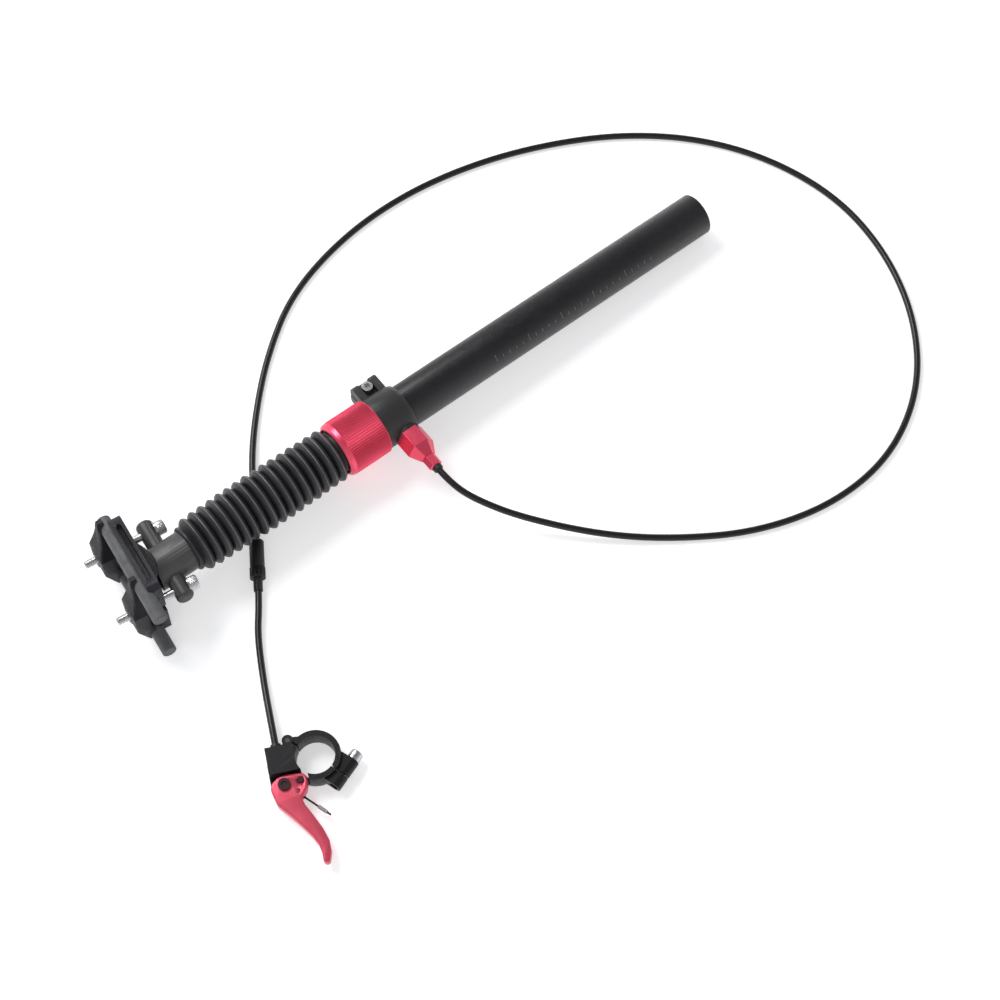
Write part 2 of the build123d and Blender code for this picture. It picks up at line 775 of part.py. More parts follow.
cable_housing_upper = housing(
    lock_exit,
    lock.from_local_coords((0, 0, stop_end + ferrule_length + lock_lead)),
    upper_route,
    adjuster.from_local_coords((0, 0, -adjuster_length - sleeve_lead)),
    sleeve_end,
)
save(cable_housing_upper, "cable_housing_upper")
cable_housing_lower = housing(
    neck_end,
    adjuster.from_local_coords((0, 0, barrel_length + barrel_neck_length + neck_lead)),
    lower_route,
    remote.from_local_coords((entry_x, ferrule_face + remote_lead, entry_height)),
    remote_entry,
)
save(cable_housing_lower, "cable_housing_lower")

# Adjuster in the cable: a sleeve, and a fluted barrel that screws into it
with BuildPart() as adjuster_sleeve:
    rod_along(adjuster.offset(-adjuster_length), adjuster_d / 2, adjuster_length)
    rims = adjuster_sleeve.edges().filter_by(GeomType.CIRCLE)
    chamfer(rims.sort_by(Axis(adjuster.origin, adjuster.z_dir))[0], adjuster_taper)
    socket_plane = adjuster.offset(-adjuster_socket)
    rod_along(socket_plane, screw_d / 2 + running, adjuster_socket + overrun, Mode.SUBTRACT)
    rod_along(adjuster.offset(-adjuster_length - overrun), wire_d, adjuster_length, Mode.SUBTRACT)
save(adjuster_sleeve, "adjuster_sleeve")

with BuildPart() as adjuster_barrel:
    rod_along(adjuster.offset(running), barrel_d / 2, barrel_length - running)
    with BuildSketch(adjuster.offset(-overrun)):
        with PolarLocations(barrel_d / 2, barrel_flute_count):
            Circle(barrel_flute_d / 2)
    extrude(amount=barrel_length - barrel_flute_d + overrun, mode=Mode.SUBTRACT)
    rod_along(adjuster.offset(barrel_length), barrel_neck_d / 2, barrel_neck_length)
    rod_along(adjuster.offset(screw_d - adjuster_socket), screw_d / 2, adjuster_socket)
    rod_along(socket_plane, wire_d / 2 + running, 2 * adjuster_length, Mode.SUBTRACT)
save(adjuster_barrel, "adjuster_barrel")

# Bar clamp of the remote: a hinged band over the half that is part of the body
bar_radius = bar_d / 2
ring_radius = bar_radius + band_thickness
ring_mid = bar_radius + band_thickness / 2
ring_floor = (block_height - band_width) / 2
ring_plane = remote.offset(ring_floor)
half_gap_angle = degrees(split_gap / 2 / ring_mid)
knuckle_gap = band_width / 60
band_knuckle = band_width / 3 - knuckle_gap
knuckle_floor = ring_floor + (band_width - band_knuckle) / 2
split = radians(split_angle)
split_point = (ring_mid * cos(split), ring_mid * sin(split), ring_floor + band_width / 2)
split_plane = Plane(
    origin=remote.from_local_coords(split_point),
    x_dir=remote.x_dir * cos(split) + remote.y_dir * sin(split),
    z_dir=remote.y_dir * cos(split) - remote.x_dir * sin(split),
)
hinge_x = knuckle_radius * cos(radians(knuckle_angle))
hinge_y = knuckle_radius * sin(radians(knuckle_angle))


def ring_sector(plane, start, end, outer, height, mode=Mode.ADD):
    """Part of the bar clamp's ring, from one angle to another."""
    reach = 2 * ring_radius
    steps = 4
    angles = [radians(start + (end - start) * k / steps) for k in range(steps + 1)]
    fan = [(reach * cos(angle), reach * sin(angle)) for angle in angles]
    with BuildSketch(plane) as sector:
        with BuildLine():
            Polyline((0, 0), *fan, close=True)
        make_face()
        Circle(outer, mode=Mode.INTERSECT)
        Circle(bar_radius, mode=Mode.SUBTRACT)
    extrude(sector.sketch, amount=height, mode=mode)


def link(plane, first, second, height, mode=Mode.ADD):
    """A plate round two circles, each an (x, y, radius), standing on the plane."""
    with BuildSketch(plane) as plate:
        for x, y, radius in (first, second):
            with Locations((x, y)):
                Circle(radius)
        make_hull()
    extrude(plate.sketch, amount=height, mode=mode)


def knuckle(angle, bottom, height):
    """One knuckle of the hinge, with its root on the ring at the angle."""
    root = (ring_mid * cos(radians(angle)), ring_mid * sin(radians(angle)), band_thickness / 2)
    link(remote.offset(bottom), (hinge_x, hinge_y, knuckle_d / 2), root, height)


lug_step = screw_offset - ring_mid
knuckle_spread = degrees(knuckle_d / ring_mid)
pin_place = remote.from_local_coords((hinge_x, hinge_y, ring_floor))
hinge_plane = Plane(origin=pin_place, x_dir=remote.x_dir, z_dir=remote.z_dir)
pocket_radius = pivot_boss_d - overrun
channel_start = (entry_x, block_back, entry_height)
channel_entry = remote.from_local_coords(channel_start)
channel_run = remote.from_local_coords((anchor_x, anchor_y, entry_height)) - channel_entry
channel = Plane(origin=channel_entry, z_dir=channel_run)
lug_circles = ((0, 0, clamp_lug_d / 2), (lug_step, 0, clamp_lug_d / 2))
boss_circles = (
    (pivot_x, pivot_y, pivot_boss_d / 2),
    (pivot_x, block_front + pivot_boss_d / 2, pivot_boss_d / 2),
)
knuckle_slot_plane = hinge_plane.offset(knuckle_floor - knuckle_gap - ring_floor)
spring_well = local(remote, pivot_x, pivot_y, ledge_height - return_spring_height)
with BuildPart() as remote_body:
    with BuildSketch(remote):
        with Locations((block_x, (block_back + block_front) / 2)):
            Rectangle(block_width, block_back - block_front)
    extrude(amount=block_height)
    for bottom in (ring_floor, knuckle_floor + band_knuckle + knuckle_gap):
        knuckle(knuckle_angle + knuckle_spread, bottom, knuckle_floor - knuckle_gap - ring_floor)
    body_start = knuckle_angle + half_gap_angle
    ring_sector(remote, split_angle, body_start, ring_radius + soft_gap, block_height, Mode.SUBTRACT)
    ring_sector(ring_plane, body_start, split_angle + 360 - half_gap_angle, ring_radius, band_width)
    link(split_plane.offset(-jaw_lug_length), *lug_circles, jaw_lug_length - split_gap / 2)
    with BuildSketch(remote.offset(ledge_height)):
        with Locations((pivot_x, pivot_y)):
            Circle(pocket_radius)
        with Locations((pivot_x, block_front + 2 * pocket_radius)):
            Rectangle(4 * pocket_radius, 4 * pocket_radius, mode=Mode.SUBTRACT)
    extrude(amount=block_height, mode=Mode.SUBTRACT)
    link(remote, *boss_circles, ledge_height)
    rod_along(remote, bar_radius, 2 * block_height, Mode.SUBTRACT)
    rod_along(knuckle_slot_plane, knuckle_d / 2 + soft_gap, band_knuckle + 2 * knuckle_gap, Mode.SUBTRACT)
    rod_along(hinge_plane.offset(-overrun), hinge_pin_d / 2, 2 * band_width, Mode.SUBTRACT)
    jaw_hole = local(split_plane, lug_step, 0, -2 * jaw_lug_length)
    rod_along(jaw_hole, bar_screw_d / 2 + bar_screw_play, 2 * jaw_lug_length, Mode.SUBTRACT)
    rod_along(channel, wire_d / 2 + running, channel_run.length, Mode.SUBTRACT)
    rod_along(local(remote, pivot_x, pivot_y, -overrun), pivot_d / 2, block_height, Mode.SUBTRACT)
    rod_along(spring_well, return_spring_d / 2 + soft_gap, block_height, Mode.SUBTRACT)
save(remote_body, "remote_body")

band_end = knuckle_angle - half_gap_angle
with BuildPart() as clamp_band:
    knuckle(knuckle_angle - knuckle_spread, knuckle_floor, band_knuckle)
    ring_sector(ring_plane, band_end, split_angle + 360, ring_radius + soft_gap, band_width, Mode.SUBTRACT)
    ring_sector(ring_plane, split_angle + half_gap_angle, band_end, ring_radius, band_width)
    link(split_plane.offset(split_gap / 2), *lug_circles, band_lug_length - split_gap / 2)
    rod_along(remote, bar_radius, 2 * block_height, Mode.SUBTRACT)
    end_slot = knuckle_floor - ring_floor + overrun
    for bottom in (-overrun, knuckle_floor + band_knuckle - ring_floor):
        rod_along(hinge_plane.offset(bottom), knuckle_d / 2 + soft_gap, end_slot, Mode.SUBTRACT)
    rod_along(hinge_plane.offset(-overrun), hinge_pin_d / 2 + running, 2 * band_width, Mode.SUBTRACT)
    screw_hole = local(split_plane, lug_step, 0, 0)
    rod_along(screw_hole, bar_screw_d / 2 + running, 2 * band_lug_length, Mode.SUBTRACT)
save(clamp_band, "clamp_band")

with BuildPart() as band_hinge_pin:
    rod_along(hinge_plane, hinge_pin_d / 2, band_width)
save(band_hinge_pin, "band_hinge_pin")

head_plane = local(split_plane, lug_step, 0, band_lug_length)
with BuildPart() as bar_screw:
    shank_length = band_lug_length + bar_screw_reach
    rod_along(head_plane.offset(-shank_length), bar_screw_d / 2, shank_length)
    rod_along(head_plane, bar_screw_head_d / 2, bar_screw_head_height)
    screw_rims = bar_screw.edges().filter_by(GeomType.CIRCLE)
    chamfer(screw_rims.sort_by(Axis(split_plane.origin, split_plane.z_dir))[-1], groove_depth)
    with BuildSketch(head_plane.offset(bar_screw_head_height / 2)):
        RegularPolygon(bar_screw_d * 3 / 8, 6, major_radius=False)
    extrude(amount=bar_screw_head_height, mode=Mode.SUBTRACT)
save(bar_screw, "bar_screw")

# Lever: plates round circles, from the wide head at the pivot to the narrow tip
lever_plane = remote.offset(lever_bottom)
lever_top = lever_bottom + lever_thickness
pivot_land = pivot_y - block_front
lever_head = (pivot_x, pivot_y, -pivot_land - lever_gap)
lever_left = (-21.5, -14.0, 5.8)
lever_lobe = (-11.3, -12.1, 4.9)
lever_lobe_low = (-12.0, -15.4, 4.6)
lever_arm = [
    (-19.0, -20.2, 6.8),
    (-15.2, -27.6, 5.0),
    (-11.0, -34.6, 4.3),
    (-6.8, -42.2, 3.6),
    (-4.4, -48.6, 3.1),
    (-3.9, -54.0, 2.6),
    (-4.7, -58.4, 2.0),
]
tail_start = (wire_hole_x, wire_hole_y)
tail_height = lever_bottom + lever_thickness / 4
tail_turn = radians(tail_angle)
tail_direction = remote.x_dir * cos(tail_turn) + remote.y_dir * sin(tail_turn)
tail_plane = Plane(origin=remote.from_local_coords((*tail_start, tail_height)), z_dir=tail_direction)
with BuildPart() as lever:
    for first, second in (
        (lever_head, lever_left),
        (lever_head, lever_lobe),
        (lever_lobe, lever_lobe_low),
        (lever_left, lever_lobe_low),
        (lever_left, lever_arm[0]),
        (lever_lobe_low, lever_arm[0]),
        *zip(lever_arm, lever_arm[1:]),
    ):
        link(lever_plane, first, second, lever_thickness)
    for x, y, start, radius in (
        (pivot_x, pivot_y, -overrun, pivot_bush_d / 2 + running),
        (wire_hole_x, wire_hole_y, -overrun, wire_hole_d / 2),
        (anchor_x, anchor_y, overrun, anchor_d / 2),
    ):
        rod_along(local(lever_plane, x, y, start), radius, 2 * lever_thickness, Mode.SUBTRACT)
    rod_along(tail_plane, wire_d / 2 + running, tail_length, Mode.SUBTRACT)
save(lever, "lever")

bush_height = lever_top + soft_gap - ledge_height + return_spring_height
with BuildPart() as pivot_bush:
    sleeve_along(spring_well, pivot_bush_d / 2, pivot_d / 2 + running, bush_height)
save(pivot_bush, "pivot_bush")

with BuildPart() as pivot_bolt:
    rod_along(local(remote, pivot_x, pivot_y, 0), pivot_d / 2, lever_top + soft_gap)
    bolt_head_plane = local(remote, pivot_x, pivot_y, lever_top + soft_gap)
    rod_along(bolt_head_plane, pivot_head_d / 2, pivot_head_height)
    with BuildSketch(bolt_head_plane.offset(pivot_head_height / 2)):
        RegularPolygon(pivot_d * 3 / 8, 6, major_radius=False)
    extrude(amount=pivot_head_height, mode=Mode.SUBTRACT)
save(pivot_bolt, "pivot_bolt")

return_spring_bore = return_spring_d / 2 - return_spring_wire
with BuildPart() as return_spring:
    sleeve_along(spring_well, return_spring_d / 2, return_spring_bore, return_spring_height)
save(return_spring, "return_spring")

with BuildPart() as anchor_screw:
    anchor_plane = local(lever_plane, anchor_x, anchor_y, 0)
    rod_along(anchor_plane.offset(overrun), anchor_d / 2, lever_thickness - overrun)
    rod_along(anchor_plane.offset(lever_thickness), anchor_head_d / 2, anchor_head_height)
save(anchor_screw, "anchor_screw")

# Inner wire: through the body to the lever, and its loose tail with a crimped end
wire_length = channel_run.length * (block_back - block_front) / (block_back - anchor_y)
with BuildPart() as remote_wire:
    rod_along(channel.offset(wire_d / 2), wire_d / 2, wire_length - 2 * wire_d)
save(remote_wire, "remote_wire")

with BuildPart() as wire_tail:
    rod_along(tail_plane, wire_d / 2, tail_length)
save(wire_tail, "wire_tail")

with BuildPart() as wire_crimp:
    sleeve_along(tail_plane.offset(crimp_share * tail_length), crimp_d / 2, wire_d / 2, crimp_length)
save(wire_crimp, "wire_crimp")

with BuildPart() as remote_ferrule:
    rod_along(Plane(origin=channel_entry, z_dir=remote.y_dir), ferrule_d / 2, ferrule_length)
save(remote_ferrule, "remote_ferrule")
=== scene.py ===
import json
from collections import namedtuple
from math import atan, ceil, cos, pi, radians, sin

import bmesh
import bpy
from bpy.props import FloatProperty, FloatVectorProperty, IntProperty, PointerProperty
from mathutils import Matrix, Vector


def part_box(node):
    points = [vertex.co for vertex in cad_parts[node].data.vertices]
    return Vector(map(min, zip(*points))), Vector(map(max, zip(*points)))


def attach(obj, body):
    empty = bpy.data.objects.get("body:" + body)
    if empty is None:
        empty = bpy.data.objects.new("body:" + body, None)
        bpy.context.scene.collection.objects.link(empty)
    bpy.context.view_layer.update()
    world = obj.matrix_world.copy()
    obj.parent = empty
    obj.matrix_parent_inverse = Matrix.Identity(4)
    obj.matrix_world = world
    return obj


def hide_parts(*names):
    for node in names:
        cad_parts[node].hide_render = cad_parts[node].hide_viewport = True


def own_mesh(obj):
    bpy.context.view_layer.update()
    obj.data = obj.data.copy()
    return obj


bl_info = {
    "name": "Dropper seatpost looks",
    "version": (1, 0, 0),
    "blender": (4, 5, 0),
    "location": "3D View > Sidebar > Seatpost",
    "description": "Finishes, gaiter, springs, threads and cables for a dropper seatpost",
    "category": "Object",
}

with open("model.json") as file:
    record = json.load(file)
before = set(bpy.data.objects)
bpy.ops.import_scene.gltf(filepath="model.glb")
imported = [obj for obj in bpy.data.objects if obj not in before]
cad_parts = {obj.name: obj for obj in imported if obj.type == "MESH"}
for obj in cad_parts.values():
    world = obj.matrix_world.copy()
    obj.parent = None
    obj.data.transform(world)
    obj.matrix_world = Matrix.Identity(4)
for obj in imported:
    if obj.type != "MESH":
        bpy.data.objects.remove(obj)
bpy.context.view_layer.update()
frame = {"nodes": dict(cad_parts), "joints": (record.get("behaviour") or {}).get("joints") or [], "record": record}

MM = 0.001
NODES = frame["nodes"]
JOINTS = {joint["name"]: joint for joint in frame["joints"]}
MOUNTS = {mount["name"]: mount for mount in frame["record"]["mounts"]}

# Directions of the post and of its saddle clamp, from the joints that slide along or turn about them
UP_POST = -Vector(JOINTS["post_drop"]["axis"])
LOCK_OUT = Vector(JOINTS["pin_pull"]["axis"])
POST_TOP = Vector(JOINTS["clamp_tilt"]["axis"])
RAIL_RUN = -Vector(JOINTS["near_rod_slide"]["axis"])
CLAMP_RISE = RAIL_RUN.cross(POST_TOP)
FLOOR = min(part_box(name)[0].z for name in NODES)

# Rise of a direction that counts as upright, and the most that one that counts as level has
UPRIGHT = 0.9
LEVEL = 0.2

# Rounding of machined and cast edges
FINE_EDGE = 0.2 * MM
ROD_EDGE = 0.3 * MM
LOCK_EDGE = 0.35 * MM
BROAD_EDGE = 0.5 * MM
CRADLE_EDGE = 0.6 * MM

# Joining of a solid's mesh: points this close are one, and faces this flat to each other are one
WELD_REACH = 0.002 * MM
TRIM_REACH = 0.01 * MM
FLAT_ANGLE = radians(0.6)
LEVER_FLAT_ANGLE = radians(1)

# Finishes: even grain, grain drawn out along the post, and how much finer the gloss varies than the colour
EVEN = (1, 1, 1)
ALONG_POST = (1, 0.04, 0.04)
POST_TURN = (0, atan(UP_POST.z / -UP_POST.x), 0)
BUMP_STRENGTH = 0.6
GLOSS_FINER = 5

# Cap screws. Their outline is in pairs of shares: at the point, both of the thread's depth; at the head,
# of its height and of its radius, where 1 is the knurled rim; and in the socket, of the head's height and
# of the socket's width
Screw = namedtuple("Screw", "head_d head_height socket shank_d threaded pitch knurls", defaults=(36,))
PINCH_SCREW = Screw(head_d=7.0 * MM, head_height=4.0 * MM, socket=3.0 * MM, shank_d=3.9 * MM,
                    threaded=7.0 * MM, pitch=0.7 * MM)
PINCH_LENGTH = 11.0 * MM
CLAMP_BOLT = Screw(head_d=8.5 * MM, head_height=5.0 * MM, socket=4.0 * MM, shank_d=5.0 * MM,
                   threaded=20.0 * MM, pitch=0.8 * MM)
BAR_SCREW = Screw(head_d=7.4 * MM, head_height=5.0 * MM, socket=3.0 * MM, shank_d=4.0 * MM,
                  threaded=9.0 * MM, pitch=0.7 * MM, knurls=24)
BAR_SCREW_LENGTH = 13.5 * MM
THREAD_DEPTH_SHARE = 0.5
THREAD_START_SHARE = 1.5
THREAD_STEPS = 6
POINT_SHARES = ((0, 1.2), (1, 0.4))
FLUTE_SHARE = 0.045
HEAD_SHARES = ((0, 0.96), (0.08, 1), (0.82, 1), (0.88, 0.97), (0.96, 0.94), (1, 0.88))
SOCKET_SHARES = ((1, 1.12), (0.92, 1), (0.45, 1))

# Stations along the post, from the collar's lower face towards the saddle
LOCK_STATION = 8.0 * MM

# Depth ticks on the outer tube, a hair proud of it
TICK_RADIUS = 13.62 * MM
TICKS_START = -62.0 * MM
TICKS_TURN = radians(-28)
TICK_SHORT = 2.2 * MM
TICK_LONG = 4.4 * MM
TICK_WIDTH = 0.35 * MM
TICKS_PER_LONG = 5
TICK_STEPS = 4

# Gaiter, by stations along the post. The rows of its cuff and lip are pairs: the distance from the cuff's
# floor or from the last rib, and how far the row stands out from the cuff's radius or the ribs' root
CUFF_FLOOR = 45.8 * MM
RIBS_START = 50.4 * MM
GAITER_TOP = 149.5 * MM
GAITER_END = 153.0 * MM
CUFF_RADIUS = 14.7 * MM
RIB_ROOT = 13.1 * MM
HEAD_BORE = 12.4 * MM
CUFF_ROWS = ((0, -0.3 * MM), (0.3 * MM, 0), (1.4 * MM, 0), (1.8 * MM, -0.5 * MM), (2.1 * MM, -1.4 * MM))
LIP_ROWS = ((0.5 * MM, 0.2 * MM), (1.0 * MM, 0.6 * MM), (1.6 * MM, 0.9 * MM), (2.4 * MM, 0.9 * MM),
            (3.0 * MM, 0.6 * MM))
GAITER_WALL = 1.2 * MM
ROOT_WALL_SHARE = 0.6
CREST_WALL_SHARE = 0.5
RIB_FULLNESS = 0.6
BEAD_HEIGHT = 0.12 * MM
# Rows of the crest bead, which also carry the pale line colour, a painted highlight
BEAD_PHASES = (0.44, 0.54)
RIB_PHASES = (0.0, 0.05, 0.12, 0.22, 0.32, 0.42, 0.44, 0.49, 0.54, 0.56, 0.66, 0.77, 0.87, 0.95)
GAITER_SIDES = 96

# Unevenness of the moulded ribs: its size, and its radians over their whole length
CREST_WAVE = (0.12 * MM, 37)
SPACING_WAVE = (0.25 * MM, 23)
SWAY_WAVE = (0.10 * MM, 11)

# Springs: the main one by stations along the post, the lock's by distances from the post's axis
SPRING_FLOOR = -221.6 * MM
SPRING_TOP = -101.2 * MM
MAIN_RADIUS = 9.0 * MM
MAIN_WIRE = 2.6 * MM
PIN_SPRING_START = 18.6 * MM
PIN_SPRING_END = 31.0 * MM
PIN_SPRING_RADIUS = 4.1 * MM
PIN_SPRING_WIRE = 0.8 * MM
PIN_SPRING_TURNS = 8
RETURN_RADIUS = 4.7 * MM
RETURN_WIRE = 0.34 * MM
RETURN_TURNS = 3
COIL_STEPS = 40
THIN_WIRE_SIDES = 8

# Saddle clamp, in its own frame: rails along X, its width along Y, and Z away from the post
CLAMP_NUT_RISE = 23.2 * MM
CLAMP_BOLT_TIP = 35.0 * MM
WASHER_HALF = 0.6 * MM
BOLT_STATION = 20.3 * MM
YOKE_HALF = 8.25 * MM
YOKE_REACH = 28.0 * MM
YOKE_HUB = 7.0 * MM
YOKE_TOP = 27.3 * MM
YOKE_LOW = 12.0 * MM
FIN_TAPER = 13.4 * MM
FIN_FALL = 6.2 * MM
FIN_BEVEL = 0.8 * MM
FIN_CURVE = 0.95
LOW_FIN_SHARE = 0.2
FIN_LEAN_SHARE = 1 / 12
FIN_STEPS = 20
CRADLE_HALF = 26.0 * MM
CRADLE_CORNER = 5.0 * MM
CRADLE_LOW = -6.0 * MM
CRADLE_HIGH = 20.0 * MM
CORNER_STEPS = 6
KNIFE_ROOM = 0.25 * MM

# Slots in the walls of the rail troughs. The ends are pairs: the distance from the slot's end, and the
# share of its full size there
SLOT_INSET = 6.0 * MM
SLOT_RISE = 10.6 * MM
SLOT_HEIGHT = 3.4 * MM
SLOT_DEPTH = 2.4 * MM
SLOT_OVERRUN = 2.0 * MM
SLOT_FLOOR_SHARE = 0.7
SLOT_ENDS = ((0, 0.35), (1.0 * MM, 0.85), (2.0 * MM, 1))

# Cable housing, as in the solid. The routes are in metres, and their heights are of the housing's centre
# over the floor
STOP_END = 43.5 * MM
FERRULE_LENGTH = 3.0 * MM
HOUSING_LOW = 2.1 * MM
LOCK_LEAD = 12.0 * MM
SLEEVE_BACK = 18.0 * MM
SLEEVE_LEAD = 24.5 * MM
NECK_END = 14.5 * MM
NECK_LEAD = 9.0 * MM
REMOTE_LEAD = 14.0 * MM
REMOTE_ENTRY = (-20.4 * MM, 12.6 * MM, 6.3 * MM)
UPPER_ROUTE = [
    (-0.0018, -0.0741, 0.0186),
    (0.0140, -0.0959, 0.0109),
    (0.0440, -0.1300, 0.0050),
    (0.0764, -0.1577, HOUSING_LOW),
    (0.1180, -0.1850, HOUSING_LOW),
    (0.1660, -0.1995, HOUSING_LOW),
    (0.2140, -0.1970, HOUSING_LOW),
    (0.2580, -0.1745, HOUSING_LOW),
    (0.2900, -0.1375, HOUSING_LOW),
    (0.3090, -0.0920, HOUSING_LOW),
    (0.3140, -0.0430, HOUSING_LOW),
    (0.3010, 0.0060, HOUSING_LOW),
    (0.2750, 0.0480, HOUSING_LOW),
    (0.2380, 0.0815, HOUSING_LOW),
    (0.1940, 0.1060, HOUSING_LOW),
    (0.1470, 0.1230, HOUSING_LOW),
    (0.0970, 0.1315, HOUSING_LOW),
    (0.0480, 0.1290, HOUSING_LOW),
    (0.0000, 0.1150, HOUSING_LOW),
    (-0.0360, 0.0895, HOUSING_LOW),
    (-0.0635, 0.0629, HOUSING_LOW),
    (-0.0861, 0.0360, 0.0028),
]
LOWER_ROUTE = [
    (-0.1486, -0.0586, 0.0034),
    (-0.1624, -0.0841, 0.0032),
]

# Remote, in its own frame: the bar's centre, and heights over the floor. A hole of the lever is its
# centre and how far its rim reaches
REMOTE_TURN = radians(-25.4)
SPLIT_TURN = radians(-46.0)
BAR_SCREW_REACH = 17.6 * MM
BAR_SCREW_HEAD = 10.5 * MM
RING_MIDDLE = 6.5 * MM
LEVER_HOLES = ((-19.6 * MM, -12.6 * MM, 3.6 * MM), (-13.0 * MM, -17.4 * MM, 1.8 * MM),
               (-10.4 * MM, -11.6 * MM, 1.6 * MM))
LEVER_ROUND = 1.1 * MM
LEVER_EASE = 0.4 * MM
LEVER_ROUND_STEPS = 5

# Loose end of the inner wire: strands wound round a core
TAIL_START = (-13.0 * MM, -17.4 * MM, 5.9 * MM)
TAIL_TURN = radians(-47.0)
TAIL_LENGTH = 22.0 * MM
TAIL_CORE = 0.46 * MM
STRANDS = 6
STRAND_RISE = 0.13 * MM
STRAND_LAY = 9.0 * MM
TAIL_STEPS = 80
TAIL_SIDES = 36

# Stage, in metres and watts: the floor and the glow that is seen on it besides the light that falls
# there, the soft light around, which weakens from the horizon upwards, the lamps and the camera
FLOOR_REACH = 12.0
FLOOR_COLOUR = (0.86, 0.86, 0.87, 1)
FLOOR_LIFT = 0.48
SKY_COLOUR = (0.97, 0.98, 1.0, 1)
SKY_LEVELS = (0.95, 0.30)
SKY_HEIGHTS = (0.0, 0.85)
KEY_LAMP = {"place": (-0.30, 1.20, 1.45), "size": 0.9, "power": 24.0}
FILL_LAMP = {"place": (-1.2, -0.9, 1.2), "size": 1.2, "power": 4.0}
CAMERA_PLACE = (-0.3206, -0.4983, 1.0742)
CAMERA_AIM = (0.0146, -0.0745, -0.02284)
FOCAL_LENGTH_MM = 74.66
SENSOR_WIDTH_MM = 36.0
NEAREST_SEEN = 0.05


class SeatpostSizes(bpy.types.PropertyGroup):
    """Sizes that can be changed without touching the solids"""

    rib_count: IntProperty(name="Ribs", description="Ribs of the gaiter", default=16, min=6, max=30)
    crest_radius: FloatProperty(
        name="Rib crest", description="Radius of the end ribs", default=0.0166, unit="LENGTH")
    crest_bulge: FloatProperty(
        name="Middle swell", description="How much larger the middle ribs are", default=0.00105,
        unit="LENGTH")
    housing_diameter: FloatProperty(
        name="Housing", description="Diameter of the cable housing", default=0.004, unit="LENGTH")
    main_turns: IntProperty(
        name="Spring turns", description="Turns of the main spring", default=15, min=4, max=40)
    tick_step: FloatProperty(
        name="Tick step", description="Distance between the depth ticks on the tube", default=0.005,
        unit="LENGTH")
    tick_count: IntProperty(name="Ticks", description="Depth ticks on the tube", default=25, min=0, max=40)
    edge_softness: FloatProperty(
        name="Edge softness", description="Share of the full rounding of edges", default=1.0, min=0, max=1.5)


TINT = {"subtype": "COLOR", "min": 0, "max": 1}


class SeatpostColours(bpy.types.PropertyGroup):
    """Colours of the finishes"""

    tube: FloatVectorProperty(
        name="Tube", description="Black anodised tube", default=(0.006, 0.006, 0.007), **TINT)
    collar: FloatVectorProperty(
        name="Collar", description="Collar, round nuts and hinge pin", default=(0.020, 0.020, 0.021), **TINT)
    anodised: FloatVectorProperty(
        name="Anodised parts", description="Nut and lock", default=(0.88, 0.088, 0.155), **TINT)
    lever: FloatVectorProperty(
        name="Lever", description="Anodised thumb lever", default=(0.70, 0.088, 0.140), **TINT)
    remote: FloatVectorProperty(
        name="Remote", description="Body and band of the remote", default=(0.004, 0.004, 0.005), **TINT)
    rods: FloatVectorProperty(
        name="Rods", description="Transport rods", default=(0.115, 0.116, 0.122), **TINT)
    head: FloatVectorProperty(
        name="Head", description="Dark head of the post", default=(0.070, 0.070, 0.070), **TINT)
    clamp: FloatVectorProperty(
        name="Clamp", description="Cast saddle clamp", default=(0.004, 0.004, 0.005), **TINT)
    rubber: FloatVectorProperty(
        name="Gaiter", description="Moulded rubber", default=(0.015, 0.015, 0.017), **TINT)
    # Pale line colour on each rib's crest bead: a painted highlight along the ribs, on a real moulded bead
    mould_line_highlight: FloatVectorProperty(
        name="Mould lines", description="Rubbed mould line on each rib", default=(0.13, 0.13, 0.135), **TINT)
    jacket: FloatVectorProperty(
        name="Housing", description="Cable housing", default=(0.005, 0.005, 0.006), **TINT)
    plastic: FloatVectorProperty(
        name="Black plastic", description="Adjuster and ferrules", default=(0.013, 0.013, 0.014), **TINT)
    steel: FloatVectorProperty(
        name="Bright steel", description="Screws and springs", default=(0.62, 0.62, 0.63), **TINT)
    dark_steel: FloatVectorProperty(
        name="Dark steel", description="Pivot bolt, anchor screw and wire end",
        default=(0.045, 0.022, 0.024), **TINT)
    inner_tube: FloatVectorProperty(
        name="Inner tube", description="Grey anodised sliding tube", default=(0.24, 0.24, 0.25), **TINT)
    bearing: FloatVectorProperty(
        name="Bushes", description="Natural bearing plastic", default=(0.74, 0.72, 0.66), **TINT)
    marks: FloatVectorProperty(
        name="Depth ticks", description="Pale ticks on the tube", default=(0.20, 0.20, 0.20), **TINT)


def sizes():
    return bpy.context.scene.seatpost_sizes


def colours():
    return bpy.context.scene.seatpost_colours


def shade(colour, level):
    """The colour made lighter or darker, with full opacity."""
    return (*[min(1.0, channel * level) for channel in colour], 1.0)


# Finishes

def noise(tree, scale, detail=4.0, stretch=(1, 1, 1), turn=(0, 0, 0)):
    """Soft noise in the object's own coordinates; a stretch below 1 draws it out along that axis."""
    place = tree.nodes.new("ShaderNodeTexCoord")
    mapping = tree.nodes.new("ShaderNodeMapping")
    mapping.inputs["Scale"].default_value = stretch
    mapping.inputs["Rotation"].default_value = turn
    texture = tree.nodes.new("ShaderNodeTexNoise")
    texture.inputs["Scale"].default_value = scale
    texture.inputs["Detail"].default_value = detail
    tree.links.new(place.outputs["Object"], mapping.inputs["Vector"])
    tree.links.new(mapping.outputs["Vector"], texture.inputs["Vector"])
    return texture.outputs["Fac"]


def spread(tree, value, low, high, start=0.3, end=0.7):
    """The noise's middle range drawn out to run from low to high."""
    ramp = tree.nodes.new("ShaderNodeMapRange")
    ramp.inputs["From Min"].default_value = start
    ramp.inputs["From Max"].default_value = end
    ramp.inputs["To Min"].default_value = low
    ramp.inputs["To Max"].default_value = high
    tree.links.new(value, ramp.inputs["Value"])
    return ramp.outputs["Result"]


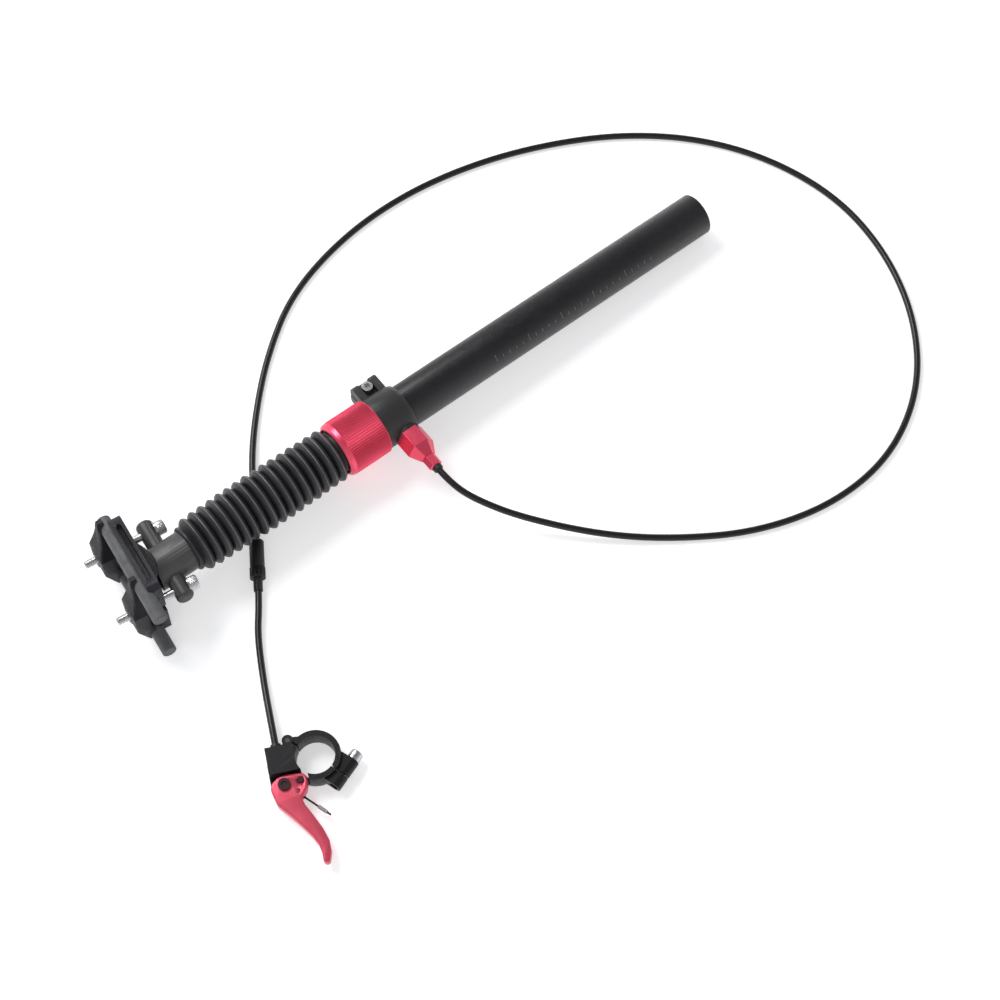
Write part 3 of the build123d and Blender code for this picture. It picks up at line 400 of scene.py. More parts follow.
def tinted(tree, value, first, second):
    """A colour that runs from the first to the second as the value runs from 0 to 1."""
    mix = tree.nodes.new("ShaderNodeMix")
    mix.data_type = "RGBA"
    mix.inputs["A"].default_value = first
    mix.inputs["B"].default_value = second
    tree.links.new(value, mix.inputs["Factor"])
    return mix.outputs["Result"]


def edges(tree, low=0.52, high=0.60):
    """1 on the outer edges, drawn lighter for abrasion and as a painted highlight, and 0 elsewhere."""
    geometry = tree.nodes.new("ShaderNodeNewGeometry")
    return spread(tree, geometry.outputs["Pointiness"], 0.0, 1.0, low, high)


def bumps(tree, shader, heights):
    """Stacks bumps of (value, depth) on the shader."""
    normal = None
    for value, depth in heights:
        node = tree.nodes.new("ShaderNodeBump")
        node.inputs["Distance"].default_value = depth
        node.inputs["Strength"].default_value = BUMP_STRENGTH
        tree.links.new(value, node.inputs["Height"])
        if normal:
            tree.links.new(normal, node.inputs["Normal"])
        normal = node.outputs["Normal"]
    tree.links.new(normal, shader.inputs["Normal"])


def finish(name, colour, roughness, metallic=0.0, specular=0.5, cloud=(0.85, 1.3), cloud_scale=60,
           grain=((900, 0.04 * MM, EVEN),), wear_and_highlight=None, wear_and_highlight_edges=(0.52, 0.60), turn=(0, 0, 0)):
    """A finish with clouded colour, uneven gloss, grain of (scale, depth, stretch) and, if asked, edges drawn
    lighter for abrasion and as a painted highlight.
    """
    made = bpy.data.materials.get(name)
    if made:
        return made
    made = bpy.data.materials.new(name)
    made.use_nodes = True
    tree = made.node_tree
    shader = tree.nodes["Principled BSDF"]
    shader.inputs["Metallic"].default_value = metallic
    shader.inputs["Specular IOR Level"].default_value = specular
    clouds = noise(tree, cloud_scale)
    base = tinted(tree, spread(tree, clouds, 0.0, 1.0), shade(colour, cloud[0]), shade(colour, cloud[1]))
    # Lighter outer edges: abrasion on some finishes, a painted highlight on others
    if wear_and_highlight:
        rubbed_and_lit = tree.nodes.new("ShaderNodeMix")
        rubbed_and_lit.data_type = "RGBA"
        rubbed_and_lit.inputs["B"].default_value = shade(colour, wear_and_highlight)
        tree.links.new(edges(tree, *wear_and_highlight_edges), rubbed_and_lit.inputs["Factor"])
        tree.links.new(base, rubbed_and_lit.inputs["A"])
        base = rubbed_and_lit.outputs["Result"]
    tree.links.new(base, shader.inputs["Base Color"])
    gloss = noise(tree, cloud_scale * GLOSS_FINER)
    tree.links.new(spread(tree, gloss, *roughness), shader.inputs["Roughness"])
    bumps(tree, shader, [(noise(tree, scale, stretch=stretch, turn=turn), depth)
                         for scale, depth, stretch in grain])
    return made


def tube_black():
    return finish("tube_black", colours().tube, roughness=(0.26, 0.38), cloud=(0.8, 1.5),
                  grain=((1400, 0.008 * MM, ALONG_POST), (2600, 0.008 * MM, EVEN)), wear_and_highlight=5, turn=POST_TURN)


def collar_black():
    return finish("collar_black", colours().collar, roughness=(0.38, 0.50), specular=0.45,
                  grain=((1600, 0.05 * MM, EVEN),), wear_and_highlight=3)


def anodised_red():
    return finish("anodised_red", colours().anodised, roughness=(0.28, 0.38), metallic=0.75,
                  cloud=(0.9, 1.06), grain=((1500, 0.006 * MM, EVEN), (3000, 0.004 * MM, EVEN)), wear_and_highlight=1.15)


def lever_red():
    return finish("lever_red", colours().lever, roughness=(0.30, 0.42), metallic=0.6, cloud=(0.88, 1.12),
                  cloud_scale=45, grain=((1200, 0.006 * MM, EVEN), (3000, 0.004 * MM, EVEN)), wear_and_highlight=1.2)


def head_grey():
    return finish("head_grey", colours().head, roughness=(0.42, 0.54), metallic=0.5, cloud=(0.8, 1.25),
                  grain=((900, 0.04 * MM, EVEN), (3000, 0.03 * MM, EVEN)), wear_and_highlight=2.2)


def cast_black():
    return finish("cast_black", colours().clamp, roughness=(0.42, 0.60), specular=0.27, cloud=(0.7, 1.8),
                  cloud_scale=140, grain=((700, 0.18 * MM, EVEN), (2200, 0.08 * MM, EVEN)), wear_and_highlight=9,
                  wear_and_highlight_edges=(0.51, 0.57))


def remote_black():
    # Its lighter edges are partly a painted highlight that lifts the bar ring
    return finish("remote_black", colours().remote, roughness=(0.34, 0.46), specular=0.3, cloud=(0.8, 1.5),
                  grain=((1600, 0.02 * MM, EVEN),), wear_and_highlight=4)


def rod_black():
    return finish("rod_black", colours().rods, roughness=(0.50, 0.64), specular=0.4, cloud=(0.75, 1.25),
                  cloud_scale=120, grain=((900, 0.06 * MM, EVEN), (2600, 0.03 * MM, EVEN)))


# Pale finish of the crest beads: a painted highlight along each rib
def gaiter_line_highlight():
    return finish("gaiter_line_highlight", colours().mould_line_highlight, roughness=(0.45, 0.60), cloud=(0.5, 1.3),
                  cloud_scale=90, grain=((1800, 0.02 * MM, EVEN),))


def gaiter_rubber():
    # The lighter crest edges of this finish are a painted highlight on the ribs
    return finish("gaiter_rubber", colours().rubber, roughness=(0.38, 0.52), specular=0.4, cloud=(0.8, 1.7),
                  grain=((1100, 0.03 * MM, EVEN), (3200, 0.02 * MM, EVEN)), wear_and_highlight=2)


def jacket_black():
    return finish("jacket_black", colours().jacket, roughness=(0.28, 0.38), specular=0.42, cloud=(0.8, 1.4),
                  grain=((1500, 0.04 * MM, EVEN),))


def plastic_black():
    return finish("plastic_black", colours().plastic, roughness=(0.40, 0.55), specular=0.42,
                  cloud=(0.8, 1.4), grain=((1300, 0.05 * MM, EVEN),))


def steel_bright():
    return finish("steel_bright", colours().steel, roughness=(0.20, 0.36), metallic=1.0, cloud=(0.8, 1.1),
                  grain=((1800, 0.03 * MM, EVEN),))


def steel_dark():
    return finish("steel_dark", colours().dark_steel, roughness=(0.34, 0.46), metallic=0.7,
                  cloud=(0.85, 1.2), grain=((1800, 0.03 * MM, EVEN),))


def tube_grey():
    return finish("tube_grey", colours().inner_tube, roughness=(0.26, 0.38), metallic=0.9, cloud=(0.9, 1.1),
                  grain=((1500, 0.02 * MM, ALONG_POST),), turn=POST_TURN)


def bush_plastic():
    return finish("bush_plastic", colours().bearing, roughness=(0.42, 0.55), cloud=(0.94, 1.04),
                  grain=((1200, 0.03 * MM, EVEN),))


def tick_paint():
    return finish("tick_paint", colours().marks, roughness=(0.5, 0.65), cloud=(0.8, 1.1),
                  grain=((2500, 0.02 * MM, EVEN),))


# Shapes

def stand(origin, z_dir, x_dir=None):
    """A place at the origin whose own Z runs along z_dir."""
    z = Vector(z_dir).normalized()
    if x_dir is None:
        x_dir = (0, 0, 1) if abs(z.z) < UPRIGHT else (1, 0, 0)
    side = Vector(x_dir)
    y = z.cross(side).normalized()
    x = y.cross(z)
    return Matrix.Translation(origin) @ Matrix((x, y, z)).transposed().to_4x4()


def place_piece(name, mesh, material, body, sharp=30):
    """Turns a mesh into a piece with its finish, riding on a body."""
    mesh.shade_smooth()
    mesh.set_sharp_from_angle(angle=radians(sharp))
    mesh.materials.append(material)
    piece = bpy.data.objects.new(name, mesh)
    bpy.context.scene.collection.objects.link(piece)
    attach(piece, body)
    return piece


def bands(rings, sides, closed=False):
    """Faces from each ring of points to the next and, when closed, from the last to the first."""
    faces = []
    for ring in range(rings if closed else rings - 1):
        here = ring * sides
        there = (ring + 1) % rings * sides
        for k in range(sides):
            after = (k + 1) % sides
            faces.append((here + k, here + after, there + after, there + k))
    return faces


def placed_mesh(name, place, points, faces):
    """A mesh of these points and faces, moved to its place."""
    mesh = bpy.data.meshes.new(name)
    mesh.from_pydata(points, [], faces)
    mesh.transform(place)
    mesh.validate()
    return mesh


def ring_stack(name, place, rows, segments=48, closed=False):
    """A skin through rings of (height, radius), where a radius may follow the share of the turn.
    It is capped at both ends or, when closed, runs from its last ring back to its first."""
    points = []
    for height, radius in rows:
        for k in range(segments):
            share = k / segments
            r = radius(share) if callable(radius) else radius
            points.append((r * cos(2 * pi * share), r * sin(2 * pi * share), height))
    count = len(rows)
    faces = bands(count, segments, closed)
    if not closed:
        for row, first, second in ((0, 1, 0), (count - 1, 0, 1)):
            centre = len(points)
            points.append((0, 0, rows[row][0]))
            for k in range(segments):
                pair = (row * segments + k, row * segments + (k + 1) % segments)
                faces.append((pair[first], pair[second], centre))
    return placed_mesh(name, place, points, faces)


def hexagon(across):
    """Radius of a hexagon of that width across its flats, as a function of the share of the turn."""
    def radius(share):
        return across / 2 / cos((share * 6 % 1 - 0.5) * pi / 3)
    return radius


def fluted(radius, depth, count):
    """Radius of a rim with shallow round flutes."""
    def at(share):
        return radius - depth * (0.5 - 0.5 * cos(2 * pi * count * share))
    return at


def thread_rows(start, end, crest, depth, pitch):
    """Rows of a screw thread from one height to another."""
    rows = []
    count = ceil((end - start) / pitch * THREAD_STEPS)
    for k in range(count + 1):
        height = start + (end - start) * k / count

        def radius(share, height=height):
            phase = (height / pitch - share) % 1
            return crest - depth * abs(2 * phase - 1)
        rows.append((height, radius))
    return rows


def cap_screw(name, place, screw, length):
    """A socket cap screw: its place is under the head, with the shank along its own -Z."""
    shank = screw.shank_d / 2
    head = screw.head_d / 2
    depth = screw.pitch * THREAD_DEPTH_SHARE
    rim = fluted(head, head * FLUTE_SHARE, screw.knurls)
    rows = [(-length + depth * up, shank - depth * inset) for up, inset in POINT_SHARES]
    start = -length + depth * THREAD_START_SHARE
    end = -length + screw.threaded
    rows += thread_rows(start, end, shank, depth, screw.pitch)
    rows += [(end + screw.pitch, shank), (0, shank)]
    rows += [(screw.head_height * up, rim if out == 1 else head * out) for up, out in HEAD_SHARES]
    rows += [(screw.head_height * up, hexagon(screw.socket * wide)) for up, wide in SOCKET_SHARES]
    return ring_stack(name, place, rows, segments=2 * screw.knurls)


def coil(name, place, radius, wire, length, turns, sides=12):
    """A wound compression spring along its own Z, whose first and last turns lie flat and closed."""
    total = turns * COIL_STEPS
    closed = 1.0
    rise = (length - wire - 2 * closed * wire) / (turns - 2 * closed)

    def height(turn):
        first = min(turn, closed)
        last = max(turn - (turns - closed), 0)
        return wire / 2 + wire * (first + last) + rise * (min(turn, turns - closed) - first)

    points = []
    for k in range(total + 1):
        turn = k / COIL_STEPS
        angle = 2 * pi * turn
        out = Vector((cos(angle), sin(angle), 0))
        middle = out * radius + Vector((0, 0, height(turn)))
        for side in range(sides):
            around = 2 * pi * side / sides
            points.append(middle + (out * cos(around) + Vector((0, 0, 1)) * sin(around)) * wire / 2)
    faces = bands(total + 1, sides)
    faces.append(tuple(reversed(range(sides))))
    faces.append(tuple(total * sides + side for side in range(sides)))
    mesh = placed_mesh(name, place, points, faces)
    mesh.flip_normals()
    return mesh


def soften(node, width, segments=3, angle=28):
    """Rounds a solid's machined edges without moving its faces."""
    weld = node.modifiers.new("join_faces", "WELD")
    weld.merge_threshold = WELD_REACH
    flat = node.modifiers.new("plain_faces", "DECIMATE")
    flat.decimate_type = "DISSOLVE"
    flat.angle_limit = FLAT_ANGLE
    bevel = node.modifiers.new("round_edges", "BEVEL")
    bevel.width = width * sizes().edge_softness
    bevel.segments = segments
    bevel.limit_method = "ANGLE"
    bevel.angle_limit = radians(angle)
    bevel.use_clamp_overlap = True
    bevel.harden_normals = True


def skin_through(name, place, sections):
    """A closed skin through sections of equal counts of (x, y, z) points, flat at both ends."""
    count = len(sections[0])
    points = [point for section in sections for point in section]
    first = tuple(reversed(range(count)))
    last = tuple(len(points) - count + k for k in range(count))
    mesh = placed_mesh(name, place, points, [first, *bands(len(sections), count), last])
    shape = bmesh.new()
    shape.from_mesh(mesh)
    bmesh.ops.recalc_face_normals(shape, faces=shape.faces)
    shape.to_mesh(mesh)
    shape.free()
    return mesh


def trimmed(mesh, reach, angle=None):
    """Joins a mesh's points within reach, and its faces that are flat to each other or else have no area."""
    shape = bmesh.new()
    shape.from_mesh(mesh)
    bmesh.ops.remove_doubles(shape, verts=shape.verts, dist=reach)
    if angle:
        bmesh.ops.dissolve_limit(shape, angle_limit=angle, verts=shape.verts, edges=shape.edges)
    else:
        bmesh.ops.dissolve_degenerate(shape, edges=shape.edges, dist=reach)
    shape.to_mesh(mesh)
    shape.free()


def carved(name, node, tools):
    """A copy of a solid's mesh, cut by tools of (operation, mesh)."""
    mesh = NODES[node].data.copy()
    mesh.materials.clear()
    trimmed(mesh, WELD_REACH, FLAT_ANGLE)
    blank = bpy.data.objects.new(name, mesh)
    collection = bpy.context.scene.collection
    collection.objects.link(blank)
    knives = []
    for operation, tool in tools:
        knife = bpy.data.objects.new(tool.name, tool)
        collection.objects.link(knife)
        knives.append(knife)
        cut = blank.modifiers.new(tool.name, "BOOLEAN")
        cut.operation = operation
        cut.object = knife
        cut.solver = "EXACT"
    graph = bpy.context.evaluated_depsgraph_get()
    result = bpy.data.meshes.new_from_object(blank.evaluated_get(graph))
    result.name = name
    for item in (blank, *knives):
        bpy.data.objects.remove(item)
    trimmed(result, TRIM_REACH)
    return result


def dress(material, *names, soft=0.0):
    """Gives solids a finish and, if asked, rounded edges."""
    for name in names:
        node = NODES[name]
        node.material_slots[0].material = material
        if soft:
            soften(node, soft)


def at_post(station, side=0.0, top=0.0):
    """A point at a station of the post, with its offsets towards the lock and the top."""
    return UP_POST * station + LOCK_OUT * side + POST_TOP * top


def remote_direction(x, y):
    """A level direction in the remote's own frame."""
    return Matrix.Rotation(REMOTE_TURN, 3, "Z") @ Vector((x, y, 0))


def at_remote(x, y, height):
    """A point in the remote's own frame: the bar's centre, and the height over the floor."""
    centre = Vector(MOUNTS["handlebar_clamp"]["pos_m"])
    aside = remote_direction(x, y)
    return Vector((centre.x + aside.x, centre.y + aside.y, FLOOR + height))


# Pieces, one operator for each

class SEATPOST_OT_outer_tube(bpy.types.Operator):
    """Finish the outer tube and put plain depth ticks on its side"""

    bl_idname = "seatpost.outer_tube"
    bl_label = "Outer tube"

    def execute(self, context):
        dress(tube_black(), "outer_tube", soft=FINE_EDGE)
        dress(tube_grey(), "base_plug")
        dress(steel_bright(), "snap_ring", "guide_rod")
        points = []
        faces = []
        for tick in range(sizes().tick_count):
            station = TICKS_START - tick * sizes().tick_step
            length = TICK_SHORT if tick % TICKS_PER_LONG else TICK_LONG
            for k in range(TICK_STEPS + 1):
                if k:
                    here = len(points)
                    faces.append((here - 2, here - 1, here + 1, here))
                angle = TICKS_TURN - length * k / TICK_STEPS / TICK_RADIUS
                out = LOCK_OUT * cos(angle) + POST_TOP * -sin(angle)
                for edge in (-TICK_WIDTH / 2, TICK_WIDTH / 2):
                    points.append(UP_POST * (station + edge) + out * TICK_RADIUS)
        mesh = bpy.data.meshes.new("depth_ticks")
        mesh.from_pydata(points, [], faces)
        place_piece("depth_ticks", mesh, tick_paint(), "outer_post")
        return {"FINISHED"}


class SEATPOST_OT_collar(bpy.types.Operator):
    """Finish the head collar and make its pinch screw"""

    bl_idname = "seatpost.collar"
    bl_label = "Head collar"

    def execute(self, context):
        dress(collar_black(), "head_collar", soft=BROAD_EDGE)
        low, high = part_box("collar_pinch_screw")
        half = (high.z - low.z) / 2
        under_head = (low + high) / 2 + POST_TOP * (half - PINCH_SCREW.head_height)
        mesh = cap_screw("pinch_screw", stand(under_head, POST_TOP), PINCH_SCREW, PINCH_LENGTH)
        piece = place_piece("pinch_screw", mesh, steel_bright(), "outer_post")
        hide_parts("collar_pinch_screw")
        return {"FINISHED"}


class SEATPOST_OT_nut(bpy.types.Operator):
    """Finish the knurled nut in red"""

    bl_idname = "seatpost.nut"
    bl_label = "Knurled nut"

    def execute(self, context):
        dress(anodised_red(), "collar_nut")
        return {"FINISHED"}


def wave(kind, share):
    """Unevenness at a share of the ribs' length, of a kind given as (size, radians over that length)."""
    size, turn = kind
    return size * sin(turn * share)


def swayed(radius, sway):
    """Radius of a ring that lies a little aside, as a function of the share of the turn."""
    def at(share):
        return radius + sway * cos(2 * pi * share)
    return at


def gaiter_rows():
    """Rows of the gaiter's skin, down its outside and back inside, and which of them start a pale mould line, a
    painted highlight.
    """
    ribs = sizes().rib_count
    highlight_rows = set()
    outer = [(CUFF_FLOOR + up, CUFF_RADIUS + out) for up, out in CUFF_ROWS]
    inner = [(CUFF_FLOOR, RIB_ROOT - GAITER_WALL / 2)]
    for rib in range(ribs):
        for phase in RIB_PHASES:
            share = (rib + phase) / ribs
            middle = sin(pi * share)
            full = abs(sin(pi * phase)) ** RIB_FULLNESS
            crest = sizes().crest_radius + sizes().crest_bulge * middle + wave(CREST_WAVE, share)
            radius = RIB_ROOT + (crest - RIB_ROOT) * full
            if BEAD_PHASES[0] <= phase <= BEAD_PHASES[1]:
                radius += BEAD_HEIGHT
            if BEAD_PHASES[0] <= phase < BEAD_PHASES[1]:
                highlight_rows.add(len(outer))
            height = RIBS_START + (GAITER_TOP - RIBS_START) * share + wave(SPACING_WAVE, share) * middle
            outer.append((height, swayed(radius, wave(SWAY_WAVE, share))))
            depth = (crest - RIB_ROOT - GAITER_WALL * CREST_WALL_SHARE) * full
            inner.append((height, RIB_ROOT - GAITER_WALL * ROOT_WALL_SHARE + depth))
    outer += [(GAITER_TOP + up, RIB_ROOT + out) for up, out in LIP_ROWS]
    outer.append((GAITER_END, RIB_ROOT))
    inner.append((GAITER_END, HEAD_BORE))
    return outer + inner[::-1], highlight_rows


class SEATPOST_OT_gaiter(bpy.types.Operator):
    """Make the moulded gaiter with round ribs and a hollow inside"""

    bl_idname = "seatpost.gaiter"
    bl_label = "Gaiter"

    def execute(self, context):
        rows, highlight_rows = gaiter_rows()
        place = stand((0, 0, 0), UP_POST, POST_TOP)
        mesh = ring_stack("gaiter_skin", place, rows, segments=GAITER_SIDES, closed=True)
        piece = place_piece("gaiter_skin", mesh, gaiter_rubber(), "outer_post", sharp=50)
        # The crest bead rows take the pale line finish: a painted highlight along each rib
        mesh.materials.append(gaiter_line_highlight())
        for face in mesh.polygons:
            if face.index // GAITER_SIDES in highlight_rows:
                face.material_index = 1
        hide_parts("gaiter")
        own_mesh(piece)
        return {"FINISHED"}


class SEATPOST_OT_inner_post(bpy.types.Operator):
    """Finish the sliding tube, its bushes and its seal"""

    bl_idname = "seatpost.inner_post"
    bl_label = "Sliding tube"

    def execute(self, context):
        dress(tube_grey(), "stanchion", "stanchion_plug")
        dress(bush_plastic(), "upper_bush", "lower_bush", "pin_guide_bush", "pivot_bush")
        dress(gaiter_rubber(), "wiper_seal")
        return {"FINISHED"}


class SEATPOST_OT_springs(bpy.types.Operator):
    """Wind the main spring, the lock's spring and the lever's return spring"""

    bl_idname = "seatpost.springs"
    bl_label = "Springs"

    def execute(self, context):
        length = SPRING_TOP - SPRING_FLOOR
        foot = at_post(SPRING_FLOOR)
        mesh = coil("main_coil", stand(foot, UP_POST), MAIN_RADIUS, MAIN_WIRE, length, sizes().main_turns)
        main = place_piece("main_coil", mesh, steel_bright(), "outer_post")
        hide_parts("main_spring")
        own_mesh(main)
        length = PIN_SPRING_END - PIN_SPRING_START
        seat = at_post(LOCK_STATION) + LOCK_OUT * PIN_SPRING_END
        mesh = coil("pin_coil", stand(seat, -LOCK_OUT), PIN_SPRING_RADIUS, PIN_SPRING_WIRE, length,
                    PIN_SPRING_TURNS, sides=THIN_WIRE_SIDES)
        pin = place_piece("pin_coil", mesh, steel_bright(), "outer_post")
        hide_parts("pin_spring")
        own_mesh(pin)
        low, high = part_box("return_spring")
        well = Vector(((low.x + high.x) / 2, (low.y + high.y) / 2, low.z))
        mesh = coil("lever_coil", stand(well, (0, 0, 1)), RETURN_RADIUS, RETURN_WIRE, high.z - low.z,
                    RETURN_TURNS, sides=THIN_WIRE_SIDES)
        lever = place_piece("lever_coil", mesh, steel_bright(), "outer_post")
        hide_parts("return_spring")
        return {"FINISHED"}


class SEATPOST_OT_head(bpy.types.Operator):
    """Finish the head of the sliding post"""

    bl_idname = "seatpost.head"
    bl_label = "Post head"

    def execute(self, context):
        dress(head_grey(), "post_head", soft=BROAD_EDGE)
        return {"FINISHED"}


def clamp_place():
    """The clamp's own frame: rails along X, its width along Y, and Z away from the post."""
    rear, front = (Vector(JOINTS[f"{end}_nut_turn"]["pos_m"]) for end in ("rear", "front"))
    return stand((rear + front) / 2 - CLAMP_RISE * CLAMP_NUT_RISE, CLAMP_RISE, RAIL_RUN)


def fin_sections(place):
    """Sections of a yoke whose wings narrow to fins over the rails, and more so on its upper side."""
    sections = []
    for k in range(-FIN_STEPS, FIN_STEPS + 1):
        width = (YOKE_REACH + 2 * KNIFE_ROOM) * k / FIN_STEPS
        wing = max(0, (abs(width) - YOKE_HUB) / (YOKE_REACH - YOKE_HUB))
        taper = FIN_TAPER if width > 0 else FIN_TAPER * LOW_FIN_SHARE
        fall = FIN_FALL if width > 0 else 0
        left = place - YOKE_HALF - KNIFE_ROOM + taper * FIN_LEAN_SHARE * wing
        right = place + YOKE_HALF + KNIFE_ROOM - taper * wing ** FIN_CURVE
        top = YOKE_TOP + KNIFE_ROOM - fall * sin(min(1, wing) * pi / 2)
        outline = ((left, YOKE_LOW), (right, YOKE_LOW), (right, top - FIN_BEVEL), (right - FIN_BEVEL, top),
                   (left + FIN_BEVEL, top), (left, top - FIN_BEVEL))
        sections.append([(along, width, rise) for along, rise in outline])
    return sections


def trough_slot(side):
    """A long slot in the outer face of a rail trough, on the side +1 or -1."""
    half = CRADLE_HALF - SLOT_INSET
    ends = [(inset - half, share) for inset, share in SLOT_ENDS]
    ends += [(half - inset, share) for inset, share in reversed(SLOT_ENDS)]
    mouth = side * (YOKE_REACH + SLOT_OVERRUN)
    sections = []
    for along, share in ends:
        tall = SLOT_HEIGHT / 2 * share
        low = tall * SLOT_FLOOR_SHARE
        floor = side * (YOKE_REACH - SLOT_DEPTH * share)
        outline = ((mouth, tall), (floor, low), (floor, -low), (mouth, -tall))
        sections.append([(along, width, SLOT_RISE + rise) for width, rise in outline])
    return sections


def rounded_block(half_x, half_y, radius, low, high):
    """Two sections of an upright block with round corners."""
    outline = []
    for corner in range(4):
        middle_x = (half_x - radius) * (1 if corner in (0, 3) else -1)
        middle_y = (half_y - radius) * (1 if corner in (0, 1) else -1)
        for k in range(CORNER_STEPS + 1):
            angle = (corner + k / CORNER_STEPS) * pi / 2
            outline.append((middle_x + radius * cos(angle), middle_y + radius * sin(angle)))
    return [[(x, y, height) for x, y in outline] for height in (low, high)]


class SEATPOST_OT_clamp(bpy.types.Operator):
    """Carve the cast saddle clamp to its finned form and finish its nuts and the transport rods"""

    bl_idname = "seatpost.clamp"
    bl_label = "Saddle clamp"

    def execute(self, context):
        place = clamp_place()
        for end, side in (("rear", -1), ("front", 1)):
            fins = skin_through(f"{end}_fins", place, fin_sections(side * BOLT_STATION))
            mesh = carved(f"yoke_{end}", f"upper_yoke_{end}", [("INTERSECT", fins)])
            piece = place_piece(f"yoke_{end}", mesh, cast_black(), "saddle_clamp")
            soften(piece, BROAD_EDGE)
            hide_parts(f"upper_yoke_{end}")
        block = rounded_block(CRADLE_HALF + KNIFE_ROOM, YOKE_REACH + KNIFE_ROOM, CRADLE_CORNER, CRADLE_LOW,
                              CRADLE_HIGH)
        tools = [("INTERSECT", skin_through("cradle_block", place, block))]
        for side in (-1, 1):
            tools.append(("DIFFERENCE", skin_through(f"trough_slot_{side}", place, trough_slot(side))))
        mesh = carved("cradle", "lower_cradle", tools)
        piece = place_piece("cradle", mesh, cast_black(), "saddle_clamp")
        soften(piece, CRADLE_EDGE)
        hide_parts("lower_cradle")
        dress(collar_black(), "nut_pin_rear", "nut_pin_front")
        dress(steel_bright(), "bolt_washer_rear", "bolt_washer_front")
        dress(rod_black(), "transport_rod_near", "transport_rod_far", soft=ROD_EDGE)
        return {"FINISHED"}


class SEATPOST_OT_clamp_bolts(bpy.types.Operator):
    """Make the two clamp bolts with their threads and sockets"""

    bl_idname = "seatpost.clamp_bolts"
    bl_label = "Clamp bolts"

    def execute(self, context):
        for end in ("rear", "front"):
            nut = Vector(JOINTS[f"{end}_nut_turn"]["pos_m"])
            tip = nut + CLAMP_RISE * (CLAMP_BOLT_TIP - CLAMP_NUT_RISE)
            low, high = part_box(f"bolt_washer_{end}")
            washer = (low + high) / 2
            under_head = nut + CLAMP_RISE * ((washer - nut).dot(CLAMP_RISE) - WASHER_HALF)
            place = stand(under_head, -CLAMP_RISE, POST_TOP)
            mesh = cap_screw(f"cap_bolt_{end}", place, CLAMP_BOLT, (tip - under_head).length)
            piece = place_piece(f"cap_bolt_{end}", mesh, steel_bright(), "inner_post")
            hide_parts(f"clamp_bolt_{end}")
        return {"FINISHED"}


class SEATPOST_OT_lock(bpy.types.Operator):
    """Finish the red lock, its pin and its cable stop"""

    bl_idname = "seatpost.lock"
    bl_label = "Pin lock"

    def execute(self, context):
        dress(anodised_red(), "lock_housing", soft=LOCK_EDGE)
        dress(anodised_red(), "cable_stop", soft=FINE_EDGE)
        dress(plastic_black(), "lock_ferrule")
        dress(steel_bright(), "lock_pin", "lock_wire")
        return {"FINISHED"}


def housing(name, points, node):
    """A free length of cable housing on one smooth line."""
    curve = bpy.data.curves.new(name, "CURVE")
    curve.dimensions = "3D"
    curve.resolution_u = 12
    curve.bevel_depth = sizes().housing_diameter / 2
    curve.bevel_resolution = 8
    curve.use_fill_caps = True
    line = curve.splines.new("NURBS")
    line.points.add(len(points) - 1)
    for point, place in zip(line.points, points):
        point.co = (*place, 1.0)
    line.order_u = 3
    line.use_endpoint_u = True
    curve.materials.append(jacket_black())
    piece = bpy.data.objects.new(name, curve)
    bpy.context.scene.collection.objects.link(piece)
    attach(piece, "outer_post")
    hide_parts(node)


def over_floor(route):
    """A route's points, with their heights taken from the floor."""
    return [Vector((x, y, FLOOR + height)) for x, y, height in route]


class SEATPOST_OT_cables(bpy.types.Operator):
    """Lay the two lengths of cable housing and finish the adjuster between them"""

    bl_idname = "seatpost.cables"
    bl_label = "Cable housing"

    def execute(self, context):
        lock_exit = at_post(LOCK_STATION) + LOCK_OUT * (STOP_END + FERRULE_LENGTH)
        adjuster = Vector(JOINTS["barrel_turn"]["pos_m"])
        onward = Vector(JOINTS["barrel_turn"]["axis"])
        upper = [
            lock_exit,
            lock_exit + LOCK_OUT * LOCK_LEAD,
            *over_floor(UPPER_ROUTE),
            adjuster - onward * (SLEEVE_BACK + SLEEVE_LEAD),
            adjuster - onward * SLEEVE_BACK,
        ]
        x, y, height = REMOTE_ENTRY
        lower = [
            adjuster + onward * NECK_END,
            adjuster + onward * (NECK_END + NECK_LEAD),
            *over_floor(LOWER_ROUTE),
            at_remote(x, y + REMOTE_LEAD, height),
            at_remote(x, y, height),
        ]
        housing("housing_upper", upper, "cable_housing_upper")
        housing("housing_lower", lower, "cable_housing_lower")
        dress(plastic_black(), "adjuster_sleeve", "adjuster_barrel", "remote_ferrule", soft=FINE_EDGE)
        return {"FINISHED"}


class SEATPOST_OT_remote(bpy.types.Operator):
    """Finish the remote's body and bar clamp, and make its pinch screw"""

    bl_idname = "seatpost.remote"
    bl_label = "Remote body"

    def execute(self, context):
        dress(remote_black(), "remote_body", "clamp_band", soft=BROAD_EDGE)
        dress(collar_black(), "band_hinge_pin")
        dress(steel_bright(), "remote_wire")
        out_x, out_y = cos(SPLIT_TURN), sin(SPLIT_TURN)
        axis = remote_direction(-out_y, out_x)
        middle = at_remote(BAR_SCREW_REACH * out_x, BAR_SCREW_REACH * out_y, RING_MIDDLE)
        place = stand(middle + axis * BAR_SCREW_HEAD, axis)
        mesh = cap_screw("band_screw", place, BAR_SCREW, BAR_SCREW_LENGTH)
        piece = place_piece("band_screw", mesh, steel_bright(), "bar_band")
        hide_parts("bar_screw")
        return {"FINISHED"}


